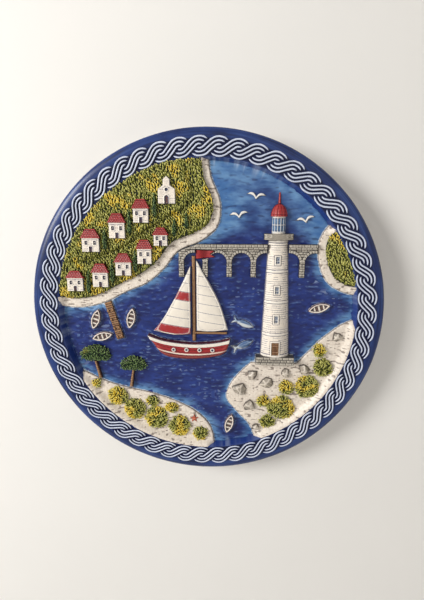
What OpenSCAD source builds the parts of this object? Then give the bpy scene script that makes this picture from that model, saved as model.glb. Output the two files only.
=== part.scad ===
// Round wall plate with a braided border and a raised harbour picture.
// It stands upright, as it hangs: X to the right, Z up, the picture faces -Y,
// and the wall is the plane Y = 0 with the plate's axis through the origin.

/* [Plate] */
// Outside diameter of the plate
plate_d = 200; // [185:1:230]
// Width of the rolled outer edge beside the braid
edge_w = 4.3; // [3.5:0.1:5]
// Drop from the braid's band to the widest line of the rolled edge
edge_drop = 2; // [1.5:0.1:3]
// Thickness of the rolled edge from front to back
edge_t = 10; // [8:0.1:11]
// Width of the flat band that carries the braid
band_w = 11.1; // [10.2:0.1:11.8]
// Thickness of the disc behind the picture
disc_t = 8; // [6.5:0.1:10]
// Depth of the picture's ground below the band
well_depth = 4; // [3:0.1:5]
// Run of the well's sloping side
wall_run = 1; // [0.5:0.1:2]

/* [Foot ring] */
// Outside diameter of the foot ring
foot_d = 128; // [110:1:140]
// Width of the foot ring
foot_w = 6; // [4:0.1:8]
// Height of the foot ring, which is the room behind the plate
foot_h = 6; // [5.4:0.1:8]
// Radius of the foot ring's edges
foot_round = 0.8; // [0.4:0.1:1.2]

/* [Braid] */
// Number of strands around the rim
strand_count = 55; // [50:1:60]
// Lean of a strand against the rim, in degrees
strand_lean = 42; // [39:1:45]
// Turn of the first strand from the top, clockwise, in degrees
strand_turn = 1.55; // [0:0.05:6.5]
// Width of one ridge of a strand
ridge_w = 1.2; // [1:0.05:1.3]
// Height of the ridges
ridge_h = 0.8; // [0.6:0.05:1.1]
// Width of the groove between two ridges
groove_w = 0.7; // [0.6:0.05:0.85]

/* [Picture] */
// Thickness of the sandy shores
shore_t = 1.2; // [0.8:0.1:2]
// Height of the wooded hills above the shores
hill_t = 2.2; // [1.5:0.1:3]
// Height of the upper terrace above the hill
terrace_t = 1.6; // [1:0.1:2.5]
// Height of the house walls above the hill
wall_t = 2; // [1.4:0.1:3]
// Height of the roofs above the hill
roof_t = 2.6; // [2:0.1:3.6]
// Height of the bushes above the shores
bush_rise = 2.4; // [1.5:0.1:3.5]
// Height of the trees above what they grow on
tree_t = 2.4; // [1.6:0.1:3.4]
// Height of the rocks above the headland
rock_t = 2.6; // [1.6:0.1:3.6]
// Height of the stone bridge above the ground
bridge_t = 2.4; // [1.6:0.1:3.4]
// Height of the small figures
figure_t = 1.4; // [1:0.1:2]
// Gap between figures that stand side by side
figure_gap = 0.25; // [0.15:0.05:0.4]

/* [Boat] */
// Height of the hull above the ground
hull_t = 4.4; // [3:0.1:5.5]
// Height of the sails above the ground
sail_t = 2.8; // [2:0.1:3.8]
// Thickness of the raised middle of each sail
belly_t = 0.9; // [0.5:0.1:1.4]
// Diameter of the mast
mast_d = 2.2; // [1.6:0.1:3]
// Thickness of the rail and the portholes on the hull
trim_t = 0.6; // [0.4:0.1:1]

/* [Lighthouse] */
// Height of the tower's foot above the ground
tower_rise = 5.4; // [4.5:0.1:6.5]
// Height of the lantern room above the ground
lantern_t = 3.2; // [2.6:0.1:3.6]
// Depth of the window and door recesses
recess_t = 0.8; // [0.5:0.1:1.2]
// Gap around the door and the window panes
pane_gap = 0.1; // [0.05:0.05:0.2]

/* [Hanger] */
// Width of the hanger strap
strap_w = 8; // [6:0.5:10]
// Thickness of the hanger strap
strap_t = 1; // [0.8:0.1:1.2]
// Length of the strap below the ring's pin
strap_len = 13; // [11.5:0.5:16]
// Diameter of the ring's wire
wire_d = 2; // [1.6:0.1:2.2]
// Width inside the ring
eye_w = 12; // [11:0.5:15]
// Height inside the ring, above the pin's axis
eye_h = 13; // [12:0.5:16]
// Running gap around the ring's pin
pin_gap = 0.05; // [0.03:0.01:0.08]
// Diameter of the screw
screw_d = 2.8; // [2.4:0.1:3.2]
// Length of the screw below its head
screw_len = 6; // [4.5:0.5:6.5]
// Diameter of the screw's head
head_d = 5.2; // [4.6:0.1:6]
// Height of the screw's head
head_h = 1.6; // [1.2:0.1:1.8]

/* [Hidden] */
$fn = 48;

// Levels above the wall and radii of the plate
ground_h = foot_h + disc_t;
rim_h = ground_h + well_depth;
rim_r = plate_d / 2;
band_out_r = rim_r - edge_w;
band_in_r = band_out_r - band_w;
ground_r = band_in_r - wall_run;
foot_out_r = foot_d / 2;
foot_in_r = foot_out_r - foot_w;
edge_steps = 10;
foot_steps = 4;
cut_over = 1;

// The picture is drawn in hundredths of its radius, so it follows the plate
u = ground_r / 100;
rim_gap = 0.2;
shore_h = ground_h + shore_t;
hill_h = shore_h + hill_t;
terrace_h = hill_h + terrace_t;
hull_h = ground_h + hull_t;

// One strand of the braid: two bends joined by a leaning run
pitch_angle = 360 / strand_count;
band_mid_r = (band_out_r + band_in_r) / 2;
half_pitch = band_mid_r * sin(pitch_angle / 2);
ridge_step = ridge_w + groove_w;
braid_margin = 0.1;
swing = band_w / 2 - braid_margin - ridge_w / 2 - ridge_step;
bend_r = (half_pitch * tan(strand_lean) - swing) / (1 / cos(strand_lean) - 1);
bend_at = [half_pitch, swing - bend_r];
bend_steps = 3;

// Hanger: the pin's axis lies behind the disc, below the top of the foot ring
curl_gap = 0.3;
pin_r = wire_d / 2;
curl_r = pin_r + pin_gap + strap_t;
pin_h = foot_h - curl_r - curl_gap;
ring_top_gap = 3;
pin_y = foot_in_r - ring_top_gap - eye_h - wire_d;
ring_half_w = eye_w / 2 + pin_r;
ring_bend_r = 2;
ring_side = eye_h + pin_r - ring_half_w - ring_bend_r;
screw_drop = 7.5;
screw_gap = 0.05;
strap_hole_gap = 0.15;
drill_past = 0.4;
pilot_depth = screw_len - strap_t + drill_past;
leaf_past_pin = 0.6;
slot_w = 0.8;
slot_t = 0.6;

// Shorelines and the feet of the figures, in hundredths of the picture's radius
west_line = [
  [-104, 4], [-88, 2], [-70, 6], [-54, 14], [-40, 20], [-28, 30],
  [-18, 42], [-4, 48], [8, 58], [10, 74], [4, 90], [2, 106]
];
west_corners = [[2, 140], [-140, 140], [-140, 4]];
hill_line = [
  [-104, 11], [-88, 9], [-71, 13], [-56, 21], [-43, 27], [-32, 36],
  [-22, 48], [-8, 54], [3, 62], [5, 75], [-1, 90], [-3, 106]
];
hill_corners = [[-3, 140], [-140, 140], [-140, 11]];
terrace_line = [
  [-104, 35], [-86, 35], [-68, 40], [-52, 47], [-38, 57], [-26, 64],
  [-14, 70], [-9, 80], [-13, 92], [-15, 106]
];
terrace_corners = [[-15, 140], [-140, 140], [-140, 35]];
far_line = [[104, 12], [92, 15], [82, 21], [76, 32], [74, 46], [79, 58], [90, 66], [104, 70]];
far_corners = [[140, 70], [140, 12]];
far_hill_line = [[104, 18], [94, 20], [86, 25], [81, 34], [79, 46], [83, 55], [92, 62], [104, 65]];
far_hill_corners = [[140, 65], [140, 18]];
headland_right = [[104, -2], [92, -8], [80, -18], [71, -28], [64, -36]];
headland_left = [
  [32, -36], [24, -44], [17, -54], [15, -64], [22, -74], [31, -84], [35, -94], [36, -106]
];
headland_corners = [[36, -140], [140, -140], [140, -2]];
beach_line = [
  [-106, -38], [-90, -44], [-74, -52], [-58, -57], [-40, -61],
  [-22, -67], [-6, -76], [4, -88], [7, -106]
];
beach_corners = [[7, -140], [-140, -140], [-140, -38]];

// Houses: x and y of the foot, width, wall height, roof height
hill_houses = [
  [-88, 15, 11, 9, 5], [-70.5, 18, 10.5, 10, 6], [-54.5, 26, 10.5, 9, 6], [-40, 34, 9.5, 10, 6],
  [-29, 46, 9, 7, 5]
];
terrace_houses = [[-75, 42, 11.5, 9, 6], [-57, 51, 10.5, 10, 6], [-41, 61, 10, 9, 6]];
eaves = 1;
ridge_share = 0.55;
house_pane = [1.7, 2.6];
pane_rise = 0.52;
house_door = [2, 3.6];
chapel_at = [-24, 73];
chapel_w = 11;
chapel_wall = 9;
gable_rise = 2.5;
bell_wall_w = 4.4;
bell_wall_rise = 6;
bell_peak = 2;
bell_r = 1.2;

// Cypresses: x and y of the foot, height
hill_cypresses = [[-79.1, 13, 17], [-62.5, 20, 17], [-46.7, 28, 17], [-20, 52, 12], [-12, 57, 10]];
terrace_cypresses = [[-65.7, 43, 16], [-48.9, 53, 17], [-32.2, 64, 16]];
cypress_w = 2.8;

// Domed bushes: x, y and radius
beach_bush_spots = [
  [-64, -64, 6.5], [-52, -74, 7.5], [-36, -80, 8], [-19, -86, 7.5], [-39, -67, 4.2], [-4, -92, 5],
  [-79, -54, 3.2], [-25, -72, 4]
];
headland_bush_spots = [
  [54, -70, 8.5], [71, -53, 8], [82, -38, 6], [44.5, -81, 4.6], [57, -54, 4.8], [79, -26, 4], [41, -65, 4]
];
// Rocks: x, y, radius and turn
rock_spots = [
  [24, -56, 5.6, 10], [31, -69, 5, 80], [33, -45, 4.6, 140], [43, -51, 5.4, 40], [56, -43, 4, 200],
  [69, -40, 4.6, 300], [90, -16, 4, 120], [36, -86, 3.2, 60]
];
rock_corners = 7;
rock_uneven = 0.18;
rock_top = 0.55;

// Lighthouse: widths and heights of its stages, stacked upwards from its foot
tower_at = [48, -36];
plinth_w = 26;
plinth_rise = 6;
tower_foot_w = 20;
tower_top_w = 13;
tower_height = 80;
gallery_w = 19;
gallery_slab = 1.8;
rail_rise = 4;
rail_posts = 7;
rail_post_w = 0.7;
lantern_w = 9;
lantern_rise = 11;
dome_overhang = 1;
dome_rise = 8;
finial_rise = 7;
finial_w = [1.8, 1];
door_size = [5, 9];
door_sill = 1.2;
window_size = [2.6, 5];
window_rises = [24, 44, 64];
plinth_step = 0.6;
plinth_t = tower_rise + plinth_step;
gallery_t = tower_rise;

// Boat: mast foot, outlines of the hull and sails
mast_x = -8;
sheer_line = [[-40, -16], [-28, -20], [-10, -22], [6, -21], [17, -18.5]];
keel_line = [[17, -18.5], [13.5, -29], [0, -33], [-18, -33.5], [-31, -30], [-40, -16]];
rail_drop = 2.4;
mast_top = 39;
boom_y = -15;
boom_end = 15;
main_leech = [[-6, 36], [2, 22], [10, 6], [15.5, -12]];
main_foot = [[15.5, -12], [4, -13.4], [-6, -12.8]];
jib_leech = [[-10.2, 32], [-20, 12], [-29, -4], [-36, -13.2]];
jib_foot = [[-36, -13.2], [-22, -16], [-10.2, -15.4]];
pennant_outline = [[0, 0], [13, 1.2], [9.5, 3.2], [13, 5.4], [0, 6]];
pennant_at = [-6.4, 37];
porthole_xs = [-22, -13, -4, 5];
porthole_y = -26;
porthole_r = 1.5;
mast_foot = -21;
boom_share = 0.8;
belly_inset = 2.2;

// Bridge: ends, water line, deck and arches
bridge_ends = [-16, 80];
bridge_foot = 25;
bridge_top = 47;
arch_count = 6;
pier_w = 3.6;
spring_y = 35;
parapet_w = 2.2;

// Jetty and small boats
jetty_from = [-68, 7];
jetty_to = [-60, -20];
jetty_w = 5;
jetty_post_count = 4;
jetty_post_r = 0.9;
jetty_overrun = 0.3;
rowing_spots = [[-77, -6, 72], [-52, -5, 78], [-73, -18.5, 14], [77, 4, 16], [17, -84, 75]];
rowing_len = 15;
rowing_w = 6;
rowing_wall = 1;
thwart_w = 1.2;

// Trees on the beach: foot, lean, trunk height, crown width
pine_spots = [[-76, -50, -3, 13, 22], [-54, -56.5, 2, 13, 19]];
trunk_w = 2.6;
trunk_top_w = 1.8;
crown_side = [[-0.5, 0.12], [-0.4, 0.36], [-0.15, 0.5], [0.15, 0.52], [0.4, 0.38], [0.5, 0.14]];
crown_base = [[0.42, 0.03], [0.2, 0], [0, 0], [-0.2, 0], [-0.42, 0.03]];

gull_spots = [[22, 66, 8], [33, 78, -6], [65, 63, 12]];
gull_span = 13;
fish_spots = [[27, -23, 24], [27, -8, -22]];
fish_len = 13;
fish_depth = 4.7;
starfish_at = [-8.5, -80.5];
starfish_r = 3.2;
starfish_waist = 0.42;

// Pieces of the drawing

function arc(c, r, from, to, steps) =
  [for (i = [0:steps]) c + r * [cos(from + (to - from) * i / steps), sin(from + (to - from) * i / steps)]];

function quarter_oval(c, half, from, to, steps) =
  [for (i = [0:steps]) let (turn = from + (to - from) * i / steps) c + [half[0] * cos(turn), half[1] * sin(turn)]];

function spline_point(a, b, c, d, t) =
  0.5 * (2 * b + (c - a) * t + (2 * a - 5 * b + 4 * c - d) * t * t + (3 * b - a - 3 * c + d) * t * t * t);

function smooth(line, steps = 4) = [
  for (i = [0:len(line) - 2], k = [0:steps - 1])
    spline_point(
      line[max(i - 1, 0)], line[i], line[i + 1], line[min(i + 2, len(line) - 1)], k / steps
    ),
  line[len(line) - 1]
];

// The picture's plane stood upright, facing -Y
module upright() {
  rotate([90, 0, 0]) children();
}

// A flat drawing raised from one level by a thickness
module raised(level, t) {
  upright() translate([0, 0, level]) linear_extrude(t) children();
}

// Land that runs from a shoreline to the side of the well
module land_shape(line, corners) {
  intersection() {
    polygon(concat(smooth(line), corners) * u);
    circle(r = ground_r - rim_gap, $fn = 96);
  }
}

module west_shape() {
  land_shape(west_line, west_corners);
}

module far_shape() {
  land_shape(far_line, far_corners);
}

module tower_shape() {
  translate(tower_at * u)
    polygon([
      [-tower_foot_w / 2, plinth_rise], [tower_foot_w / 2, plinth_rise],
      [tower_top_w / 2, plinth_rise + tower_height], [-tower_top_w / 2, plinth_rise + tower_height]
    ] * u);
}

// Room that the gallery, the lantern room and the dome take up above the tower
module tower_head_shape() {
  head_w = lantern_w + 2 * dome_overhang;
  translate((tower_at + [0, plinth_rise + tower_height]) * u) {
    translate([-gallery_w / 2, 0] * u) square([gallery_w, rail_rise] * u);
    translate([-head_w / 2, rail_rise] * u) square([head_w, lantern_rise + dome_rise + finial_rise] * u);
  }
}

// A low dome that sits on a level
module dome(spot, level, rise) {
  r = spot[2] * u;
  ball_r = (r * r + rise * rise) / (2 * rise);
  edge_angle = asin((ball_r - rise) / ball_r);
  profile = concat([[0, 0]], arc([0, rise - ball_r], ball_r, edge_angle, 90, 6));
  upright()
    translate([spot[0] * u, spot[1] * u, level])
      rotate_extrude() polygon(profile);
}

// Plate

module plate_body() {
  profile = concat(
    [[0, foot_h], [0, ground_h], [ground_r, ground_h], [band_in_r, rim_h]],
    quarter_oval([band_out_r, rim_h - edge_drop], [edge_w, edge_drop], 90, 0, edge_steps),
    quarter_oval([band_out_r, rim_h - edge_drop], [edge_w, edge_t - edge_drop], -90 / edge_steps, -90, edge_steps - 1),
    [[foot_out_r, foot_h]],
    arc([foot_out_r - foot_round, foot_round], foot_round, 0, -90, foot_steps),
    arc([foot_in_r + foot_round, foot_round], foot_round, -90, -180, foot_steps),
    [[foot_in_r, foot_h]]
  );
  color("navy")
    upright()
      difference() {
        rotate_extrude($fn = 128) polygon(profile);
        translate([0, pin_y - screw_drop, foot_h - cut_over])
          cylinder(d = screw_d + 2 * screw_gap, h = pilot_depth + cut_over);
      }
}

// Where a bend ends, short of the neighbouring strand's run
function neighbour_lean(side) = strand_lean - side * pitch_angle;
function neighbour_at(side) =
  [band_mid_r * sin(pitch_angle), -side * band_mid_r * (1 - cos(pitch_angle))];
function neighbour_distance(side) =
  (bend_at - neighbour_at(side)) * [-sin(neighbour_lean(side)), cos(neighbour_lean(side))];
function bend_end(r, side) =
  neighbour_lean(side)
    + asin((ridge_step + ridge_w / 2 + groove_w - neighbour_distance(side)) / r);

// Line along a strand at a distance from its middle, with the bends cut where the ridge's own middle ends
function ridge_line(middle, edge) = concat(
  [
    for (p = arc(bend_at, bend_r - edge, bend_end(bend_r - middle, -1), 90 + strand_lean, bend_steps))
      -p
  ],
  arc(bend_at, bend_r + edge, 90 + strand_lean, bend_end(bend_r + middle, 1), bend_steps)
);

module ridge_shape(middle) {
  outer = ridge_line(middle, middle + ridge_w / 2);
  inner = ridge_line(middle, middle - ridge_w / 2);
  polygon(concat(outer, [for (i = [len(inner) - 1:-1:0]) inner[i]]));
}

module braid_strands() {
  color("white")
    raised(rim_h, ridge_h)
      for (k = [0:strand_count - 1])
        rotate(-strand_turn - k * pitch_angle)
          translate([0, band_mid_r])
            for (i = [-1:1])
              ridge_shape(i * ridge_step);
}

// Village hill on the left

module west_shore() {
  color("wheat") raised(ground_h, shore_t) west_shape();
}

module west_hill() {
  color("olivedrab") raised(shore_h, hill_t) land_shape(hill_line, hill_corners);
}

module hill_terrace() {
  color("darkolivegreen") raised(hill_h, terrace_t) land_shape(terrace_line, terrace_corners);
}

// Wall of one house with two windows and a door let into it
module house_wall(house, level) {
  width = house[2] * u;
  height = house[3] * u;
  pane = house_pane * u;
  door = house_door * u;
  upright()
    translate([house[0] * u, house[1] * u, level])
      difference() {
        translate([-width / 2, 0, 0]) cube([width, height, wall_t]);
        for (side = [-1, 1])
          translate([side * width / 4 - pane.x / 2, height * pane_rise, wall_t - recess_t])
            cube([pane.x, pane.y, 2 * recess_t]);
        translate([-door.x / 2, -door.y, wall_t - recess_t])
          cube([door.x, 2 * door.y, 2 * recess_t]);
      }
}

module house_roof(house, level) {
  half = house[2] / 2;
  raised(level, roof_t)
    translate([house[0], house[1] + house[3]] * u)
      polygon([
        [-half - eaves, 0], [half + eaves, 0],
        [half * ridge_share, house[4]], [-half * ridge_share, house[4]]
      ] * u);
}

module house_walls() {
  color("ivory") {
    for (house = hill_houses)
      house_wall(house, hill_h);
    for (house = terrace_houses)
      house_wall(house, terrace_h);
  }
}

module house_roofs() {
  color("firebrick") {
    for (house = hill_houses)
      house_roof(house, hill_h);
    for (house = terrace_houses)
      house_roof(house, terrace_h);
  }
}

module chapel() {
  half = chapel_w / 2;
  bell_half = bell_wall_w / 2;
  bell_top = chapel_wall + bell_wall_rise;
  side = [[half, 0], [half, chapel_wall], [bell_half, chapel_wall + gable_rise], [bell_half, bell_top]];
  color("ivory")
    raised(terrace_h, wall_t)
      translate(chapel_at * u)
        difference() {
          polygon([
            for (p = side) p * u,
            [0, bell_top + bell_peak] * u,
            for (i = [len(side) - 1:-1:0]) [-side[i].x, side[i].y] * u
          ]);
          translate([0, bell_top - 2 * bell_r] * u) circle(r = bell_r * u);
        }
}

module cypress(tree, level) {
  side = smooth([[0, 0], [0.42, 0.1], [0.5, 0.3], [0.34, 0.65], [0, 1]]);
  outline = [
    for (p = side) [p.x * cypress_w, p.y * tree[2]],
    for (i = [len(side) - 2:-1:1]) [-side[i].x * cypress_w, side[i].y * tree[2]]
  ];
  raised(level, tree_t)
    translate([tree[0], tree[1]] * u)
      polygon(outline * u);
}

module cypress_trees() {
  color("darkgreen") {
    for (tree = hill_cypresses)
      cypress(tree, hill_h);
    for (tree = terrace_cypresses)
      cypress(tree, terrace_h);
  }
}

// Far shore and the bridge

module far_shore() {
  color("wheat") raised(ground_h, shore_t) far_shape();
}

module far_hill() {
  color("olivedrab") raised(shore_h, hill_t) land_shape(far_hill_line, far_hill_corners);
}

// What stands beside or before the bridge, with a gap all round
module bridge_clearance() {
  offset(delta = figure_gap) {
    west_shape();
    far_shape();
    tower_shape();
    tower_head_shape();
    sail_shape(main_leech, main_foot);
    pennant_shape();
  }
}

module bridge_shape() {
  bay = (bridge_ends[1] - bridge_ends[0]) / arch_count;
  arch_r = (bay - pier_w) / 2;
  difference() {
    translate([bridge_ends[0] - pier_w / 2, bridge_foot] * u)
      square([bridge_ends[1] - bridge_ends[0] + pier_w, bridge_top - bridge_foot] * u);
    for (i = [0:arch_count - 1])
      translate([bridge_ends[0] + (i + 0.5) * bay, 0] * u) {
        translate([0, spring_y] * u) circle(r = arch_r * u);
        translate([-arch_r, bridge_foot - cut_over] * u)
          square([2 * arch_r, spring_y - bridge_foot + cut_over] * u);
      }
  }
}

module stone_bridge() {
  color("gray")
    raised(ground_h, bridge_t)
      difference() {
        bridge_shape();
        bridge_clearance();
      }
}

module bridge_parapet() {
  color("darkgray")
    raised(ground_h + bridge_t, trim_t)
      difference() {
        translate([bridge_ends[0], bridge_top - parapet_w] * u)
          square([bridge_ends[1] - bridge_ends[0], parapet_w] * u);
        bridge_clearance();
      }
}

// Headland on the right

module headland() {
  color("tan")
    raised(ground_h, shore_t)
      intersection() {
        polygon(concat(smooth(headland_right), smooth(headland_left), headland_corners) * u);
        circle(r = ground_r - rim_gap, $fn = 96);
      }
}

module rock(spot) {
  upright()
    translate([spot[0] * u, spot[1] * u, shore_h])
      linear_extrude(rock_t, scale = rock_top)
        polygon([
          for (i = [0:rock_corners - 1])
            spot[2] * u * (1 - rock_uneven + rock_uneven * sin(spot[3] + i * 137))
              * [cos(spot[3] + i * 360 / rock_corners), sin(spot[3] + i * 360 / rock_corners)]
        ]);
}

module headland_rocks() {
  color("rosybrown")
    for (spot = rock_spots)
      rock(spot);
}

module headland_bushes() {
  color("olive")
    for (spot = headland_bush_spots)
      dome(spot, shore_h, bush_rise);
}

// Lighthouse

// Upright stage of the tower: the front of a cone whose axis lies below the ground
function stage_axis(half, rise) = (half * half - rise * rise) / (2 * rise);
tower_axis = stage_axis(tower_foot_w * u / 2, tower_rise);
function stage_radius(half) = sqrt(half * half + tower_axis * tower_axis);

module stage(foot_w, top_w, from, height, axis_h) {
  foot_radius = sqrt(pow(foot_w * u / 2, 2) + pow(axis_h, 2));
  top_radius = sqrt(pow(top_w * u / 2, 2) + pow(axis_h, 2));
  upright()
    translate([tower_at.x * u, (tower_at.y + from) * u, ground_h])
      intersection() {
        translate([0, 0, -axis_h])
          rotate([-90, 0, 0]) cylinder(r1 = foot_radius, r2 = top_radius, h = height * u);
        translate([-plinth_w * u, 0, 0])
          cube([2 * plinth_w * u, height * u, plinth_t + tower_rise]);
      }
}

// Height of the tower's face above the ground, at a rise up the tower
function tower_face(rise) =
  stage_radius((tower_foot_w + (tower_top_w - tower_foot_w) * rise / tower_height) * u / 2) - tower_axis;

module tower_opening(size, rise, gap, level) {
  translate([tower_at.x * u, (tower_at.y + plinth_rise + rise) * u, level])
    translate([-size.x * u / 2 + gap, gap, 0])
      cube([size.x * u - 2 * gap, size.y * u - 2 * gap, tower_rise]);
}

// Floor of a recess, below the lowest point of the tower's face along its sides
function recess_level(size, rise) =
  ground_h + tower_face(rise + size.y) - recess_t - pow(size.x * u / 2, 2) / (2 * tower_axis);

module lighthouse_plinth() {
  color("tan")
    raised(ground_h, plinth_t)
      translate((tower_at - [plinth_w / 2, -figure_gap / u]) * u)
        square([plinth_w, plinth_rise - figure_gap / u] * u);
}

module lighthouse_tower() {
  color("ivory")
    difference() {
      stage(tower_foot_w, tower_top_w, plinth_rise, tower_height, tower_axis);
      upright() tower_opening(door_size, door_sill, 0, recess_level(door_size, door_sill));
      upright()
        for (rise = window_rises)
          tower_opening(window_size, rise, 0, recess_level(window_size, rise));
    }
}

// A leaf that fills a recess up to the tower's face
module tower_leaf(size, rise) {
  intersection() {
    stage(tower_foot_w, tower_top_w, plinth_rise, tower_height, tower_axis);
    upright() tower_opening(size, rise, pane_gap, recess_level(size, rise));
  }
}

module tower_door() {
  color("saddlebrown") tower_leaf(door_size, door_sill);
}

module tower_windows() {
  color("slategray")
    for (rise = window_rises)
      tower_leaf(window_size, rise);
}

module lighthouse_gallery() {
  post_step = (gallery_w - rail_post_w) / (rail_posts - 1);
  color("lightgray")
    raised(ground_h, gallery_t)
      translate((tower_at + [-gallery_w / 2, plinth_rise + tower_height]) * u) {
        square([gallery_w, gallery_slab] * u);
        for (i = [0:rail_posts - 1])
          translate([i * post_step, 0] * u) square([rail_post_w, rail_rise] * u);
        translate([0, rail_rise - rail_post_w] * u) square([gallery_w, rail_post_w] * u);
      }
}

module lantern_room() {
  base = plinth_rise + tower_height + rail_rise;
  color("lightsteelblue")
    stage(lantern_w, lantern_w, base, lantern_rise, stage_axis(lantern_w * u / 2, lantern_t));
}

module lantern_dome() {
  base = plinth_rise + tower_height + rail_rise + lantern_rise;
  radius = (lantern_w / 2 + dome_overhang) * u;
  height = dome_rise * u;
  tip = (dome_rise + finial_rise) * u;
  profile = concat(
    [[0, 0], [radius, 0]],
    [for (t = [15:15:75]) [radius * cos(t), height * sin(t)]],
    [[finial_w[0] * u / 2, height], [finial_w[1] * u / 2, tip], [0, tip]]
  );
  color("firebrick")
    upright()
      intersection() {
        translate([tower_at.x * u, (tower_at.y + base) * u, ground_h])
          rotate([-90, 0, 0]) rotate_extrude() polygon(profile);
        translate([0, 0, ground_h]) cube([2 * ground_r, 2 * ground_r, 2 * radius]);
      }
}

// Beach at the lower left

module beach() {
  color("wheat")
    raised(ground_h, shore_t)
      difference() {
        land_shape(beach_line, beach_corners);
        offset(delta = figure_gap)
          for (pine = pine_spots)
            trunk_shape(pine);
      }
}

module beach_bushes() {
  color("olive")
    for (spot = beach_bush_spots)
      dome(spot, shore_h, bush_rise);
}

module starfish() {
  color("coral")
    raised(shore_h, trim_t)
      translate(starfish_at * u)
        polygon([
          for (i = [0:9])
            starfish_r * u * (i % 2 == 0 ? 1 : starfish_waist) * [cos(90 + i * 36), sin(90 + i * 36)]
        ]);
}

// Trunk from the foot to the crown, with a slight lean
module trunk_shape(pine) {
  translate([pine[0], pine[1]] * u)
    polygon([
      [-trunk_w / 2, 0], [trunk_w / 2, 0], [pine[2] + trunk_top_w / 2, pine[3]],
      [pine[2] - trunk_top_w / 2, pine[3]]
    ] * u);
}

module pine_trunks() {
  color("saddlebrown")
    for (pine = pine_spots)
      raised(ground_h, tree_t) trunk_shape(pine);
}

module pine_crowns() {
  color("darkgreen")
    for (pine = pine_spots)
      raised(ground_h, tree_t + trim_t)
        translate([pine[0] + pine[2], pine[1] + pine[3] + figure_gap / u] * u)
          polygon(concat(smooth(crown_side), smooth(crown_base)) * pine[4] * u);
}

// Sailing boat

module hull_shape() {
  polygon([
    for (p = smooth(sheer_line)) p * u,
    for (p = smooth(keel_line)) p * u
  ]);
}

module boat_hull() {
  color("firebrick") raised(ground_h, hull_t) hull_shape();
}

module boat_rail() {
  top = smooth(sheer_line);
  color("ivory")
    raised(hull_h, trim_t)
      intersection() {
        hull_shape();
        polygon([
          for (p = top) p * u,
          for (i = [len(top) - 1:-1:0]) (top[i] - [0, rail_drop]) * u
        ]);
      }
}

module boat_portholes() {
  color("ivory")
    for (x = porthole_xs)
      raised(hull_h, trim_t)
        translate([x, porthole_y] * u) circle(r = porthole_r * u);
}

// Mast and boom, half round on the ground
module half_round(d, length) {
  intersection() {
    cylinder(d = d, h = length);
    translate([-d, 0, 0]) cube([2 * d, d, length]);
  }
}

module boat_spars() {
  color("sienna")
    upright()
      translate([0, 0, ground_h]) {
        translate([mast_x * u, mast_foot * u, 0])
          rotate([-90, 180, 0]) half_round(mast_d, (mast_top - mast_foot) * u);
        translate([mast_x * u, boom_y * u, 0])
          rotate([90, 0, 90]) half_round(mast_d * boom_share, (boom_end - mast_x) * u);
      }
}

module sail_shape(leech, foot) {
  polygon(concat(smooth(leech), smooth(foot)) * u);
}

// A sail with a raised middle
module sail(leech, foot) {
  raised(ground_h, sail_t) sail_shape(leech, foot);
  raised(ground_h + sail_t, belly_t) offset(delta = -belly_inset * u) sail_shape(leech, foot);
}

module main_sail() {
  color("ivory") sail(main_leech, main_foot);
}

module jib_sail() {
  color("ivory") sail(jib_leech, jib_foot);
}

module pennant_shape() {
  translate(pennant_at * u) polygon(pennant_outline * u);
}

module pennant() {
  color("firebrick") raised(ground_h, figure_t) pennant_shape();
}

// Jetty and rowing boats

jetty_run = jetty_to - jetty_from;
jetty_length = norm(jetty_run);
jetty_angle = atan2(jetty_run.y, jetty_run.x);

module jetty_shape() {
  difference() {
    translate(jetty_from * u)
      rotate(jetty_angle)
        translate([0, -jetty_w * u / 2]) square([jetty_length, jetty_w] * u);
    offset(delta = figure_gap) west_shape();
  }
}

module jetty_deck() {
  color("burlywood") raised(ground_h, figure_t) jetty_shape();
}

module jetty_posts() {
  step = jetty_length / (jetty_post_count + jetty_overrun);
  color("sienna")
    upright()
      translate([jetty_from.x * u, jetty_from.y * u, ground_h + figure_t])
        rotate([0, 0, jetty_angle])
          for (i = [1:jetty_post_count], side = [-1, 1])
            translate([i * step * u, side * (jetty_w / 2 - jetty_post_r) * u, 0])
              cylinder(r = jetty_post_r * u, h = trim_t);
}

// Pointed oval from two arcs
module pointed_oval(length, width) {
  r = (length * length / 4 + width * width / 4) / width;
  intersection() {
    translate([0, r - width / 2]) circle(r = r, $fn = 96);
    translate([0, width / 2 - r]) circle(r = r, $fn = 96);
  }
}

module rowing_boat() {
  inside_w = rowing_w - 2 * rowing_wall;
  inside_len = rowing_len * inside_w / rowing_w;
  difference() {
    linear_extrude(figure_t + trim_t) pointed_oval(rowing_len * u, rowing_w * u);
    translate([0, 0, figure_t - trim_t / 2])
      linear_extrude(2 * figure_t)
        difference() {
          pointed_oval(inside_len * u, inside_w * u);
          square([thwart_w, rowing_w] * u, center = true);
        }
  }
}

module rowing_boats() {
  color("ivory")
    upright()
      for (spot = rowing_spots)
        translate([spot[0] * u, spot[1] * u, ground_h])
          rotate([0, 0, spot[2]]) rowing_boat();
}

// Gulls and fish

module gull_shape() {
  wing = gull_span / 2;
  for (side = [0, 1])
    mirror([side, 0])
      polygon([
        for (p = smooth([[0, -0.6], [0.25 * wing, 1.5], [0.6 * wing, 1.9], [wing, 0.4]])) p * u,
        for (p = smooth([[0.62 * wing, 0.4], [0.3 * wing, -0.3], [0, -2.4]])) p * u
      ]);
}

module gulls() {
  color("white")
    for (spot = gull_spots)
      raised(ground_h, figure_t)
        translate([spot[0], spot[1]] * u) rotate(spot[2]) gull_shape();
}

module fish_shape() {
  pointed_oval(fish_len * u, fish_depth * u);
  translate([-fish_len / 2, 0] * u)
    polygon([[2.2, 0], [-2.4, 2.8], [-1.2, 0], [-2.4, -2.8]] * u);
}

module leaping_fish() {
  color("steelblue")
    for (spot = fish_spots)
      raised(ground_h, figure_t)
        translate([spot[0], spot[1]] * u) rotate(spot[2]) fish_shape();
}

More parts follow.
